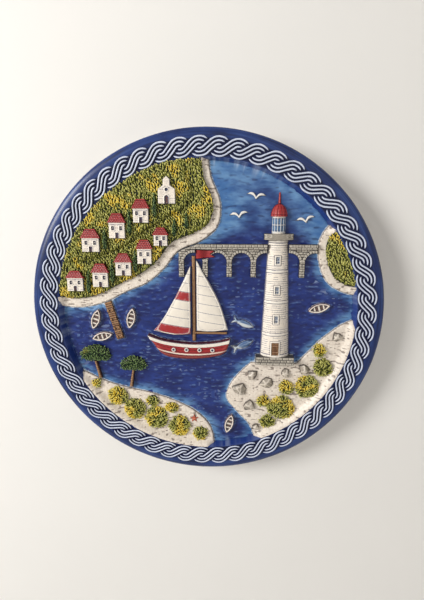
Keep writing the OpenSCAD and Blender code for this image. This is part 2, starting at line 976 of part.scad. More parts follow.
// Hanger on the back

module hanger_strap() {
  round_r = strap_w / 2;
  leaf = concat(
    [[strap_w / 2, leaf_past_pin], [-strap_w / 2, leaf_past_pin]],
    arc([0, round_r - strap_len], round_r, 180, 360, 12)
  );
  color("silver")
    upright()
      translate([0, pin_y, 0])
        difference() {
          union() {
            translate([0, 0, foot_h - strap_t]) linear_extrude(strap_t) polygon(leaf);
            translate([-strap_w / 2, 0, pin_h]) rotate([0, 90, 0]) cylinder(r = curl_r, h = strap_w);
          }
          translate([-strap_w, 0, pin_h])
            rotate([0, 90, 0]) cylinder(r = pin_r + pin_gap, h = 2 * strap_w);
          translate([0, -screw_drop, foot_h - 2 * strap_t])
            cylinder(d = screw_d + 2 * strap_hole_gap, h = 3 * strap_t);
        }
}

module hanger_ring() {
  bar = 2 * (ring_half_w - ring_bend_r);
  color("gold")
    upright()
      translate([0, pin_y, pin_h]) {
        translate([-bar / 2, 0, 0]) rotate([0, 90, 0]) cylinder(r = pin_r, h = bar);
        for (side = [0, 1])
          mirror([side, 0, 0]) {
            translate([bar / 2, ring_bend_r, 0])
              rotate([0, 0, -90])
                rotate_extrude(angle = 90) translate([ring_bend_r, 0]) circle(r = pin_r);
            translate([ring_half_w, ring_bend_r, 0])
              rotate([-90, 0, 0]) cylinder(r = pin_r, h = ring_side);
          }
        translate([0, ring_bend_r + ring_side, 0])
          rotate_extrude(angle = 180) translate([ring_half_w, 0]) circle(r = pin_r);
      }
}

module hanger_screw() {
  color("silver")
    upright()
      translate([0, pin_y - screw_drop, foot_h - strap_t])
        difference() {
          union() {
            translate([0, 0, -head_h]) cylinder(d = head_d, h = head_h);
            cylinder(d = screw_d, h = screw_len);
          }
          translate([-head_d, -slot_w / 2, -head_h - cut_over])
            cube([2 * head_d, slot_w, slot_t + cut_over]);
        }
}

plate_body();
braid_strands();
west_shore();
west_hill();
hill_terrace();
house_walls();
house_roofs();
chapel();
cypress_trees();
far_shore();
far_hill();
stone_bridge();
bridge_parapet();
headland();
headland_rocks();
headland_bushes();
lighthouse_plinth();
lighthouse_tower();
tower_door();
tower_windows();
lighthouse_gallery();
lantern_room();
lantern_dome();
beach();
beach_bushes();
starfish();
pine_trunks();
pine_crowns();
boat_hull();
boat_rail();
boat_portholes();
boat_spars();
main_sail();
jib_sail();
pennant();
jetty_deck();
jetty_posts();
rowing_boats();
gulls();
leaping_fish();
hanger_strap();
hanger_ring();
hanger_screw();
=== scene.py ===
import math

import bpy
import numpy as np
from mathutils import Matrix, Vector
from mathutils.geometry import delaunay_2d_cdt


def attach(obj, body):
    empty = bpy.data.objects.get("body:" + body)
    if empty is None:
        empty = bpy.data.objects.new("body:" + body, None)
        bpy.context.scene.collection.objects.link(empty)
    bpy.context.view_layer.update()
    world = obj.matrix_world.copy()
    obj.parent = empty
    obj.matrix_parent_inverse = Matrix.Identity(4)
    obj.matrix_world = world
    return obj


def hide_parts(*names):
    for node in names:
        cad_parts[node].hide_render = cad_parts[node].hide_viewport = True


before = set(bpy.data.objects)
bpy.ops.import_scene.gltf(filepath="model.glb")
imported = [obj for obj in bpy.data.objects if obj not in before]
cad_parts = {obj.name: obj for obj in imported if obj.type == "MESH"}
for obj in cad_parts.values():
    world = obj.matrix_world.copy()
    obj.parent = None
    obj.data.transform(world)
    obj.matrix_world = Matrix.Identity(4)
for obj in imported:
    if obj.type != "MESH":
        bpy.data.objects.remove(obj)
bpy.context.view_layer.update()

# Sizes in millimetres: x to the right, up, and out from the wall towards the viewer
MM = 0.001
PLATE_R = 100.0
EDGE_W = 4.3  # width of the rim outside the braid
EDGE_DROP = 2.0  # from the braid's ground back to the rim's widest line
EDGE_T = 10.0  # thickness of the rim
BAND_OUT = PLATE_R - EDGE_W  # radii of the braid's band and of the picture's ground
BAND_IN = 84.6
GROUND_R = 83.6
GROUND = 14.0  # how far out the picture's ground, the braid's ground and the back lie
RIM = 18.0
BACK = 6.0
FOOT_OUT = 64.0  # radii of the foot ring
FOOT_IN = 58.0
UNIT = GROUND_R / 100  # the picture is laid out in hundredths of its radius
TOWER_AXIS = 3.77  # how far the tower's middle line lies behind the picture's ground


# Random numbers that repeat, and the textures made from them

PRIMES = (374761393, 668265263, 974634599, 1274126177)
WORD = 0xFFFFFFFF
MOST = 0xFFFFFF


def lattice(ix, iy, seed):
    """A repeatable number from 0 to 1 for each cell of a grid."""
    n = (ix.astype(np.int64) * PRIMES[0] + iy.astype(np.int64) * PRIMES[1] + seed * PRIMES[2]) & WORD
    n = ((n ^ (n >> 13)) * PRIMES[3]) & WORD
    return ((n ^ (n >> 16)) & MOST) / MOST


def noise(x, up, size, seed):
    """Smooth noise from 0 to 1 with features of one size."""
    x, up = x / size, up / size
    ix, iy = np.floor(x), np.floor(up)
    fx, fy = x - ix, up - iy
    fx, fy = fx * fx * (3 - 2 * fx), fy * fy * (3 - 2 * fy)
    low = lattice(ix, iy, seed) * (1 - fx) + lattice(ix + 1, iy, seed) * fx
    high = lattice(ix, iy + 1, seed) * (1 - fx) + lattice(ix + 1, iy + 1, seed) * fx
    return low * (1 - fy) + high * fy


def rough(x, up, size, seed):
    """Noise with finer noise on it, centred on 0."""
    layers = 4 * noise(x, up, size, seed) + 2 * noise(x, up, size * 0.47, seed + 1)
    return (layers + noise(x, up, size * 0.22, seed + 2)) / 7 - 0.5


def cells(x, up, size, seed):
    """Distance to the nearest point of a scatter."""
    x, up = x / size, up / size
    ix, iy = np.floor(x), np.floor(up)
    near = np.full(len(x), 9.0)
    for dx in (-1, 0, 1):
        for dy in (-1, 0, 1):
            cx, cy = ix + dx, iy + dy
            px = cx + 0.15 + 0.7 * lattice(cx, cy, seed)
            py = cy + 0.15 + 0.7 * lattice(cx, cy, seed + 7)
            near = np.minimum(near, np.hypot(px - x, py - up))
    return near * size


def step(value, low, high):
    """Smooth step from 0 at low to 1 at high."""
    t = np.clip((value - low) / (high - low), 0, 1)
    return t * t * (3 - 2 * t)


def groove(gap, width):
    """1 in the middle of a groove, falling to 0 past its width."""
    return np.exp(-(gap / width) ** 2)


def rounded(inset, radius):
    """How far a rounded edge drops below the front."""
    t = np.clip(1 - inset / radius, 0, 1)
    return radius * (1 - np.sqrt(1 - t * t))


def joint_gap(along, pitch):
    """Distance to the nearest of evenly spaced joints."""
    return (0.5 - np.abs((along / pitch) % 1 - 0.5)) * pitch


def courses(x, up, height, length, seed):
    """Staggered courses: distance to the level joint, to the upright joint, and a number per stone."""
    row = np.floor(up / height)
    along = x / length + lattice(row, row * 0, seed) + 0.5 * (row % 2)
    column = np.floor(along)
    level = np.minimum(up / height - row, row + 1 - up / height) * height
    upright = np.minimum(along - column, column + 1 - along) * length
    return level, upright, lattice(row, column, seed + 3)


# Outlines of the CAD solids, and castings made on them

FOOT_BAND = 0.002  # how far from its lowest point a solid's foot may lie
ROW_STEP = 0.866  # rows of a grid of even triangles, in cells
EDGE_CLEAR = 0.6  # least distance of the grid from the outline, in cells
MERGE = 1e-6  # points closer than this become one
FOOT_SINK = 1.2  # how far a casting's foot is sunk into what carries it, and into the picture's ground
GROUND_SINK = 0.5
LEAST_RISE = 0.05  # of a casting's front over its solid's foot
RELIEF_DEPTH = 0.12  # height over its neighbours at which a point counts as a full crest
RELIEF_ROUNDS = 5  # rounds of evening that make the neighbours' height
SIDE_RELIEF = -1.6  # what the foot of a wall counts as, so that the wash covers it


class Solid:
    """One solid of a CAD node: the outline of its foot and the heights of its foot and front."""

    def __init__(self, loops, foot, front):
        self.loops, self.foot, self.front = loops, foot, front
        corners = np.concatenate(loops)
        self.low, self.high = corners.min(0), corners.max(0)
        self.mid, self.size = (self.low + self.high) / 2, self.high - self.low

    def half_width(self, up):
        """Half the width at each height, for a form that is even about its middle line."""
        ring = np.concatenate(self.loops)
        side = ring[ring[:, 0] > self.mid[0] + 0.01]
        side = side[np.argsort(side[:, 1], kind="stable")]
        return np.interp(up, side[:, 1], side[:, 0] - self.mid[0])


def joined_loops(edges):
    """Closed loops from directed edges."""
    ahead = dict(edges)
    loops = []
    while ahead:
        first, at = next(iter(ahead.items()))
        loop = [first]
        del ahead[first]
        while at != first:
            loop.append(at)
            at = ahead.pop(at)
        loops.append(loop)
    return loops


def free_edges(triangles):
    """Directed edges that only one triangle has."""
    edges = set()
    for a, b, c in triangles:
        for edge in ((a, b), (b, c), (c, a)):
            if edge[::-1] in edges:
                edges.remove(edge[::-1])
            else:
                edges.add(edge)
    return edges


def solids(node):
    """The solids of a CAD node, in order from left to right."""
    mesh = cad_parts[node].data
    mesh.calc_loop_triangles()
    places = np.empty(len(mesh.vertices) * 3)
    mesh.vertices.foreach_get("co", places)
    triangles = np.empty(len(mesh.loop_triangles) * 3, np.int64)
    mesh.loop_triangles.foreach_get("vertices", triangles)
    spots, index = np.unique(np.round(places.reshape(-1, 3) / MM, 3), axis=0, return_inverse=True)
    triangles = index.reshape(-1)[triangles].reshape(-1, 3)
    label = np.arange(len(spots))
    while True:
        lowest = label[triangles].min(1)
        merged = label.copy()
        for k in range(3):
            np.minimum.at(merged, triangles[:, k], lowest)
        merged = merged[merged]
        if (merged == label).all():
            break
        label = merged
    flat, out = spots[:, [0, 2]], -spots[:, 1]
    found = []
    for one in np.unique(label[triangles[:, 0]]):
        own = triangles[label[triangles[:, 0]] == one]
        foot, front = out[own].min(), out[own].max()
        under = own[(out[own] < foot + FOOT_BAND).all(1)]
        loops = [flat[loop[::-1]] for loop in joined_loops(free_edges(under.tolist()))]
        found.append(Solid(loops, foot, front))
    return sorted(found, key=lambda s: (s.mid[0], s.mid[1]))


def sides(loops):
    """The straight sides of the loops, each as its two ends."""
    return [side for loop in loops for side in zip(loop, np.roll(loop, -1, 0))]


def distance(x, up, lines):
    """Distance from each point to the nearest of some straight lines."""
    near = np.full(len(x), 1e12)
    for (ax, ay), (bx, by) in lines:
        dx, dy = bx - ax, by - ay
        along = np.clip(((x - ax) * dx + (up - ay) * dy) / max(dx * dx + dy * dy, 1e-12), 0, 1)
        near = np.minimum(near, (x - ax - along * dx) ** 2 + (up - ay - along * dy) ** 2)
    return np.sqrt(near)


def nearest(x, up, group):
    """Distance from each point to the nearest outline of some solids."""
    near = np.full(len(x), PLATE_R)
    for solid in group:
        near = np.minimum(near, distance(x, up, sides(solid.loops)))
    return near


def within(x, up, loops):
    """Whether each point lies inside the loops."""
    inside = np.zeros(len(x), bool)
    for (ax, ay), (bx, by) in sides(loops):
        if ay != by:
            inside ^= ((ay > up) != (by > up)) & (x < ax + (up - ay) * (bx - ax) / (by - ay))
    return inside


def averaged(values, triangles, rounds, fixed):
    """Values evened out over neighbouring points, with the fixed points held at 0."""
    a = np.concatenate([triangles[:, 0], triangles[:, 1], triangles[:, 2]])
    b = np.concatenate([triangles[:, 1], triangles[:, 2], triangles[:, 0]])
    a, b = np.concatenate([a, b]), np.concatenate([b, a])
    count = np.maximum(np.bincount(a, minlength=len(values)), 1)
    for _ in range(rounds):
        values = np.bincount(a, weights=values[b], minlength=len(values)) / count
        values[fixed] = 0
    return values


def outline_points(loops, cell):
    """Points along the loops about a cell apart, and the links between them."""
    points, links = [], []
    for loop in loops:
        first = len(points)
        for a, b in zip(loop, np.roll(loop, -1, 0)):
            parts = max(1, round(float(np.hypot(*(b - a))) / cell))
            points.extend(a + (b - a) * k / parts for k in range(parts))
        count = len(points) - first
        links.extend((first + k, first + (k + 1) % count) for k in range(count))
    return np.array(points), links


def grid_points(solid, cell):
    """Points of a grid of even triangles inside a solid's outline."""
    points = []
    for k, row in enumerate(np.arange(solid.low[1] + 0.4 * cell, solid.high[1], cell * ROW_STEP)):
        line = np.arange(solid.low[0] + cell * (0.25 + 0.5 * (k % 2)), solid.high[0], cell)
        points.append(np.stack([line, np.full(len(line), row)], 1))
    points = np.concatenate(points)
    x, up = points.T
    return points[within(x, up, solid.loops) & (distance(x, up, sides(solid.loops)) > EDGE_CLEAR * cell)]


def filled(points, links):
    """Points and triangles that fill the linked outlines."""
    flat, _, faces, *_ = delaunay_2d_cdt([Vector(p) for p in points], links, [], 2, MERGE)
    return np.array([tuple(p) for p in flat]), faces


def cast(solid, cell, shape, evened=3):
    """A closed casting on a solid's outline, with its foot sunk a little into what carries it.

    shape takes the solid, x, up and the distance in from the outline, and gives the front's height
    and its paint masks. The distance is evened out so that it has no creases where two sides of the
    outline are equally far.
    """
    rim, links = outline_points(solid.loops, cell)
    flat, faces = filled(np.concatenate([rim, grid_points(solid, cell)]), links)
    edges = free_edges(faces)
    border = np.array(sorted({a for a, _ in edges}))
    triangles = np.array(faces)
    x, up = flat[:, 0], flat[:, 1]
    inset = distance(x, up, sides(solid.loops))
    inset[border] = 0
    out, masks = shape(solid, x, up, averaged(inset, triangles, evened, border))
    out = np.maximum(out, solid.foot + LEAST_RISE)
    standing = out - averaged(out, triangles, RELIEF_ROUNDS, np.zeros(0, int))
    masks = {"relief": np.clip(standing / RELIEF_DEPTH, -1, 1), **masks}
    order = {int(p): k for k, p in enumerate(border)}
    walls = [(a, len(flat) + order[a], len(flat) + order[b], b) for a, b in edges]
    foot, foot_faces = filled(flat[border], [(order[a], order[b]) for a, b in edges])
    if len(foot) != len(border):
        raise ValueError("an outline's foot has merged points")
    under = [tuple(len(flat) + k for k in face[::-1]) for face in foot_faces]
    buried = max(solid.foot - FOOT_SINK, min(solid.foot, GROUND - GROUND_SINK))
    places = np.concatenate([
        np.column_stack([flat, out]),
        np.column_stack([flat[border], np.full(len(border), buried)]),
    ])
    masks = {name: np.concatenate([values, values[border]]) for name, values in masks.items()}
    masks["relief"][len(flat):] = SIDE_RELIEF
    return places, [tuple(f) for f in faces] + walls + under, masks


def mesh_object(name, parts, material, sharp=50):
    """One object from castings or other parts, each of places, faces and masks."""
    places, faces, masks = [], [], {}
    total = sum(len(p[0]) for p in parts)
    start = 0
    for spots, own, marks in parts:
        faces.extend(tuple(k + start for k in face) for face in own)
        for key, values in marks.items():
            masks.setdefault(key, np.zeros(total, np.float32))[start:start + len(spots)] = values
        places.append(np.column_stack([spots[:, 0], -spots[:, 2], spots[:, 1]]) * MM)
        start += len(spots)
    mesh = bpy.data.meshes.new(name)
    mesh.from_pydata(np.concatenate(places).tolist(), [], faces)
    for key, values in masks.items():
        mesh.attributes.new(key, "FLOAT", "POINT").data.foreach_set("value", values)
    mesh.materials.append(material)
    mesh.shade_smooth()
    mesh.set_sharp_from_angle(angle=math.radians(sharp))
    made = bpy.data.objects.new(name, mesh)
    bpy.context.scene.collection.objects.link(made)
    return made


def seat(made, slot, *nodes):
    """Puts a finished piece under the plate's body and hides the CAD nodes that it stands for."""
    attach(made, "plate")
    if nodes:
        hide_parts(*nodes)


def figure(name, node, cell, shape, finish, slot, sharp=45, evened=3):
    """A piece with a casting on each solid of a CAD node."""
    castings = [cast(solid, cell, shape, evened) for solid in solids(node)]
    seat(mesh_object(name, castings, finish, sharp), slot, node)


# Nodes

def linear(red, green, blue):
    """A colour written as on a screen, from 0 to 255, as Blender's numbers."""
    screen = (red, green, blue)
    return tuple(((c / 255 + 0.055) / 1.055) ** 2.4 if c > 10 else c / 3294.6 for c in screen) + (1,)


def feed(tree, node, inputs):
    """Sets a node's inputs to values, or links them to the sockets that feed them."""
    for key, value in inputs.items():
        if isinstance(value, bpy.types.NodeSocket):
            tree.links.new(value, node.inputs[key])
        else:
            node.inputs[key].default_value = value
    return node


def add(tree, kind, inputs=None, **settings):
    """A node with its settings and its inputs."""
    made = tree.nodes.new(kind)
    for name, value in settings.items():
        setattr(made, name, value)
    return feed(tree, made, inputs or {})


def node_group(name, kind, inputs, outputs):
    """A node group with named sockets, what it is given, and the node that takes its results."""
    tree = bpy.data.node_groups.new(name, kind)
    for way, sockets in (("INPUT", inputs), ("OUTPUT", outputs)):
        for socket, value in sockets.items():
            tree.interface.new_socket(socket, in_out=way, socket_type="NodeSocket" + value)
    return tree, tree.nodes.new("NodeGroupInput").outputs, tree.nodes.new("NodeGroupOutput")


def new_finish(name):
    """A new material, its tree and its shader."""
    material = bpy.data.materials.new(name)
    material.use_nodes = True
    return material, material.node_tree, material.node_tree.nodes["Principled BSDF"]


def maths(tree, operation, a, b):
    return add(tree, "ShaderNodeMath", {0: a, 1: b}, operation=operation).outputs[0]


def times(tree, a, b):
    return maths(tree, "MULTIPLY", a, b)


def varied(tree, base, value, amount, middle=None):
    """The base plus some of a value, taken from the value's middle where that is given."""
    if middle is not None:
        value = maths(tree, "SUBTRACT", value, middle)
    return maths(tree, "ADD", base, times(tree, value, amount))


def vectors(tree, operation, *values):
    return add(tree, "ShaderNodeVectorMath", dict(enumerate(values)), operation=operation).outputs[0]


def blended(tree, factor, a, b):
    """Colour a where the factor is 0 and b where it is 1."""
    return add(tree, "ShaderNodeMix", {0: factor, 6: a, 7: b}, data_type="RGBA").outputs[2]


def ramp(tree, value, low, high, most=1.0):
    """Smooth rise from 0 at low to most at high."""
    inputs = {"Value": value, "From Min": low, "From Max": high, "To Min": 0.0, "To Max": most}
    return add(tree, "ShaderNodeMapRange", inputs, interpolation_type="SMOOTHSTEP").outputs["Result"]


def layered(tree, color, *layers):
    """A colour under layers, each with the value it follows, its ramp's low, high and most, and its paint."""
    for value, low, high, most, paint in layers:
        color = blended(tree, ramp(tree, value, low, high, most), color, linear(*paint))
    return color


def mask(tree, name):
    return add(tree, "ShaderNodeAttribute", attribute_name=name).outputs["Fac"]


def grain(tree, scale, detail, stretch=None):
    """Noise on the piece's own place, with features of about one metre over the scale."""
    spot = add(tree, "ShaderNodeTexCoord").outputs["Object"]
    if stretch:
        spot = add(tree, "ShaderNodeMapping", {"Vector": spot, "Scale": stretch}).outputs["Vector"]
    inputs = {"Vector": spot, "Scale": scale, "Detail": detail, "Roughness": 0.55}
    return add(tree, "ShaderNodeTexNoise", inputs).outputs["Fac"]


def bumps(tree, height, strength, rise):
    """The surface's direction with bumps of a height on it."""
    inputs = {"Height": height, "Strength": strength, "Distance": rise}
    return add(tree, "ShaderNodeBump", inputs).outputs["Normal"]


# Paints

def brushwork_group():
    """Hand paint: a dark wash in the hollows, a dry brush on the crests, and mottling."""
    tree, given, result = node_group("brushwork", "ShaderNodeTree", {
        "Paint": "Color", "Wash": "Color", "Brush": "Color",
        "Wash Amount": "Float", "Brush Amount": "Float", "Mottle": "Float", "Gloss": "Float",
    }, {"Color": "Color", "Roughness": "Float", "Height": "Float"})
    relief = mask(tree, "relief")
    broad = grain(tree, 240, 3.0)
    fine = grain(tree, 1500, 2.0)
    streak = grain(tree, 500, 2.0, (1.0, 1.0, 2.6))
    sunk = times(tree, varied(tree, relief, fine, 0.7, 0.5), -1.0)
    hollow = times(tree, ramp(tree, sunk, 0.02, 0.62), given["Wash Amount"])
    combed = varied(tree, relief, streak, 0.9, 0.5)
    crest = times(tree, ramp(tree, combed, 0.12, 0.7), given["Brush Amount"])
    patch = times(tree, ramp(tree, broad, 0.42, 0.68), given["Mottle"])
    color = blended(tree, patch, given["Paint"], given["Wash"])
    color = blended(tree, hollow, color, given["Wash"])
    color = blended(tree, crest, color, given["Brush"])
    worn = times(tree, maths(tree, "SUBTRACT", fine, 0.4), 0.3)
    dull = maths(tree, "SUBTRACT", 0.62, given["Gloss"])
    roughness, height = maths(tree, "ADD", worn, dull), varied(tree, fine, streak, 0.6)
    feed(tree, result, {"Color": color, "Roughness": roughness, "Height": height})
    return tree


BRUSHWORK = brushwork_group()


def painted(name, paint, wash, brush, wash_amount, brush_amount, mottle, gloss=0.22, coat=0.16, zones=None):
    """A painted and lacquered finish. Each zone is a mask's name and the colour of the paint there."""
    material, tree, shader = new_finish(name)
    color = linear(*paint)
    for key, other in (zones or {}).items():
        color = blended(tree, mask(tree, key), color, linear(*other))
    work = add(tree, "ShaderNodeGroup", {
        "Paint": color, "Wash": linear(*wash), "Brush": linear(*brush), "Wash Amount": wash_amount,
        "Brush Amount": brush_amount, "Mottle": mottle, "Gloss": gloss}, node_tree=BRUSHWORK).outputs
    feed(tree, shader, {
        "Base Color": work["Color"], "Roughness": work["Roughness"],
        "Normal": bumps(tree, work["Height"], 0.6, 0.00006),
        "Specular IOR Level": 0.28, "Coat Weight": coat, "Coat Roughness": 0.18})
    return material


# Each finish has its paint, the wash in its hollows, the brush on its crests, and the amounts of
# wash, brush and mottling
CREAM = (236, 225, 210)
WHITE = (240, 234, 224)
DEEP_RED = (152, 32, 36)
SAND = painted("sand_cream", (222, 209, 195), (122, 110, 102), (238, 229, 216), 0.8, 0.6, 0.16)
WALL = painted("wall_cream", CREAM, (70, 76, 104), WHITE, 0.85, 0.7, 0.06,
               zones={"pane": (40, 50, 78), "door": (104, 64, 40)})
ROOF = painted("roof_red", DEEP_RED, (58, 14, 20), (192, 88, 78), 0.85, 0.45, 0.2)
STONE = painted("stone_grey", (146, 138, 126), (44, 42, 44), (206, 199, 186), 0.9, 0.6, 0.3)
ROCK = painted("rock_grey", (164, 154, 141), (66, 60, 58), (220, 210, 196), 0.8, 0.75, 0.35)
WOOD = painted("wood_brown", (118, 78, 48), (40, 26, 20), (184, 146, 106), 0.85, 0.55, 0.3)
HULL = painted("hull_red", DEEP_RED, (56, 12, 20), (194, 92, 82), 0.85, 0.4, 0.14,
               zones={"stripe": CREAM, "bottom": (88, 16, 22)})
SAIL = painted("sail_cream", (234, 225, 211), (110, 114, 134), WHITE, 0.75, 0.5, 0.08,
               zones={"stripe": (160, 40, 42)})
GLASS = painted("pane_blue", (84, 118, 154), (22, 34, 70), (208, 218, 226), 0.8, 0.6, 0.15, gloss=0.34,
                zones={"frame": CREAM})
GULL = painted("gull_white", (236, 232, 224), (96, 106, 132), WHITE, 0.8, 0.6, 0.05,
               zones={"tips": (76, 80, 94)})
FISH = painted("fish_blue", (70, 98, 140), (20, 30, 64), (186, 202, 216), 0.8, 0.6, 0.1,
               zones={"belly": (204, 208, 208)})
STAR = painted("starfish_coral", (184, 76, 50), (78, 28, 24), (226, 152, 116), 0.8, 0.7, 0.15)
BOAT = painted("rowing_cream", CREAM, (80, 74, 82), WHITE, 0.85, 0.6, 0.06,
               zones={"inside": (112, 76, 50), "stripe": (152, 40, 40)})
# The braid's wash also lays painted shade on the ridges' flanks and tucked-in ends
BRAID = painted("braid_white", (201, 209, 229), (12, 24, 70), (227, 232, 243), 1.0, 0.55, 0.14,
                gloss=0.3, coat=0.1)


def around(tree):
    """The place on a piece, its part square to the plate's axis, and that part's direction."""
    spot = add(tree, "ShaderNodeTexCoord").outputs["Object"]
    level = vectors(tree, "MULTIPLY", spot, (1.0, 0.0, 1.0))
    return spot, level, vectors(tree, "NORMALIZE", level)


def spokes(tree, count):
    """Noise that changes only with the angle about the plate's axis."""
    turn = around(tree)[2]
    return add(tree, "ShaderNodeTexNoise", {"Vector": turn, "Scale": count, "Detail": 3.0}).outputs["Fac"]


def strokes(tree, most=1.0):
    """Bunches of brush strokes that point to the plate's axis."""
    bunches = ramp(tree, spokes(tree, 2.2), 0.36, 0.58, most)
    return times(tree, ramp(tree, spokes(tree, 30.0), 0.36, 0.72), bunches)


def sweeps(tree, fineness):
    """Noise drawn out round the plate's axis, as a brush leaves it on a turned rim."""
    spot, level, turn = around(tree)
    radius = add(tree, "ShaderNodeVectorMath", {0: level}, operation="LENGTH").outputs["Value"]
    depth = add(tree, "ShaderNodeSeparateXYZ", {0: spot}).outputs["Y"]
    across = times(tree, maths(tree, "ADD", radius, depth), fineness)
    offset = add(tree, "ShaderNodeCombineXYZ", {1: across}).outputs[0]
    drawn = vectors(tree, "MULTIPLY_ADD", turn, (4.0, 0.0, 4.0), offset)
    return add(tree, "ShaderNodeTexNoise", {"Vector": drawn, "Scale": 1.0, "Detail": 4.0}).outputs["Fac"]


def sea_material():
    """Deep blue with combed crests, paler over the shallows and in the sky, white along the shores."""
    material, tree, shader = new_finish("sea_blue")
    relief = mask(tree, "relief")
    drift = grain(tree, 70, 3.0, (1.0, 1.0, 2.2))
    combing = grain(tree, 620, 3.0, (1.0, 1.0, 3.2))
    fine = grain(tree, 2200, 2.0)
    deep = blended(tree, ramp(tree, drift, 0.36, 0.68), linear(14, 30, 92), linear(30, 52, 122))
    pale = blended(tree, ramp(tree, drift, 0.35, 0.7), linear(58, 104, 160), linear(104, 146, 188))
    shallow = varied(tree, mask(tree, "shallow"), drift, 0.7, 0.5)
    foam = times(tree, mask(tree, "foam"), varied(tree, 0.35, combing, 1.3))
    wash = times(tree, mask(tree, "edge"), strokes(tree))
    color = layered(
        tree, blended(tree, ramp(tree, shallow, 0.3, 0.95, 0.95), deep, pale),
        (times(tree, relief, -1.0), 0.1, 0.8, 0.6, (10, 20, 68)),
        (varied(tree, relief, combing, 1.5, 0.55), 0.45, 1.2, 0.36, (130, 164, 206)),
        (foam, 0.4, 0.8, 0.9, (222, 228, 232)),
        (wash, 0.1, 0.9, 0.5, (196, 210, 224)))
    feed(tree, shader, {
        "Base Color": color, "Roughness": varied(tree, 0.3, fine, 0.2),
        "Normal": bumps(tree, combing, 0.5, 0.00012),
        "Specular IOR Level": 0.3, "Coat Weight": 0.18, "Coat Roughness": 0.15})
    return material


def leaf_material(name, dark, green, pale, yellow, yellow_share):
    """Stippled leaves: dark between the blades, green along them, dry-brushed tips and yellow patches."""
    material, tree, shader = new_finish(name)
    tip, tone = mask(tree, "tip"), mask(tree, "tone")
    patch = grain(tree, 105, 2.5)
    fine = grain(tree, 1300, 2.0)
    color = blended(tree, ramp(tree, tip, 0.02, 0.55), linear(*dark), linear(*green))
    color = blended(tree, times(tree, ramp(tree, tone, 0.3, 1.0), 0.4), color, linear(*dark))
    yellowed = ramp(tree, patch, 0.66 - yellow_share, 0.74 - yellow_share)
    bloom = times(tree, yellowed, ramp(tree, tip, 0.1, 0.5))
    warm = blended(tree, ramp(tree, fine, 0.4, 0.7), linear(*yellow), linear(205, 162, 38))
    color = blended(tree, bloom, color, warm)
    brushed = times(tree, ramp(tree, tip, 0.36, 0.82), ramp(tree, fine, 0.33, 0.57, 0.84))
    feed(tree, shader, {
        "Base Color": blended(tree, brushed, color, linear(*pale)),
        "Roughness": varied(tree, 0.34, fine, 0.25),
        "Specular IOR Level": 0.22, "Coat Weight": 0.1, "Coat Roughness": 0.2})
    return material


LEAF = leaf_material("leaf_green", (34, 40, 13), (128, 131, 40), (222, 217, 132), (232, 198, 52), 0.13)
BUSH = leaf_material("bush_green", (34, 40, 13), (124, 128, 38), (222, 217, 130), (232, 198, 50), 0.16)
PINE = leaf_material("pine_green", (12, 24, 16), (40, 74, 36), (140, 162, 100), (92, 110, 44), 0.0)


def plate_material():
    """Blue glaze over the front and the edge, raw casting on the back."""
    material, tree, shader = new_finish("rim_blue")
    fine = grain(tree, 900, 3.0)
    cloudy = ramp(tree, grain(tree, 60, 3.0), 0.35, 0.7)
    brushed = sweeps(tree, 700.0)
    trough, slope = mask(tree, "trough"), mask(tree, "slope")
    blue = layered(
        tree, blended(tree, cloudy, linear(22, 41, 93), linear(32, 56, 113)),
        (brushed, 0.5, 0.72, 0.42, (58, 87, 146)),
        (brushed, 0.52, 0.3, 0.8, (8, 18, 50)),
        (fine, 0.62, 0.8, 0.2, (96, 116, 166)))
    blue = blended(tree, trough, blue, linear(8, 18, 56))
    blue = blended(tree, slope, blue, linear(30, 54, 124))
    blue = blended(tree, times(tree, slope, strokes(tree, 0.5)), blue, linear(180, 196, 216))
    raw = layered(
        tree, blended(tree, cloudy, linear(226, 219, 206), linear(206, 198, 184)),
        (fine, 0.58, 0.75, 0.5, (176, 166, 152)))
    covered = ramp(tree, varied(tree, mask(tree, "glaze"), fine, 0.5, 0.5), 0.42, 0.58)
    satin = varied(tree, 0.27, fine, 0.16)
    dull = times(tree, maths(tree, "SUBTRACT", 1.0, covered), 0.4)
    lacquer = maths(tree, "SUBTRACT", 0.24, times(tree, trough, 0.2))
    feed(tree, shader, {
        "Base Color": blended(tree, covered, raw, blue),
        "Roughness": maths(tree, "ADD", satin, dull),
        "Coat Weight": times(tree, covered, lacquer),
        "Normal": bumps(tree, fine, 0.35, 0.00012),
        "Specular IOR Level": 0.22, "Coat Roughness": 0.24})
    return material


def metal(name, color, dark, roughness):
    """Bare metal with dull patches and fine specks."""
    material, tree, shader = new_finish(name)
    fine = grain(tree, 2500, 3.0)
    broad = grain(tree, 300, 3.0)
    patches, specks = (broad, 0.45, 0.75, 0.6, dark), (fine, 0.6, 0.75, 0.4, dark)
    feed(tree, shader, {
        "Base Color": layered(tree, linear(*color), patches, specks),
        "Roughness": varied(tree, roughness, fine, 0.2),
        "Normal": bumps(tree, fine, 0.3, 0.00005),
        "Metallic": 1.0})
    return material


# Leaf tufts grown on a casting

DENSEST = 4.0e6  # blades for each square metre, before they are thinned to their spacing


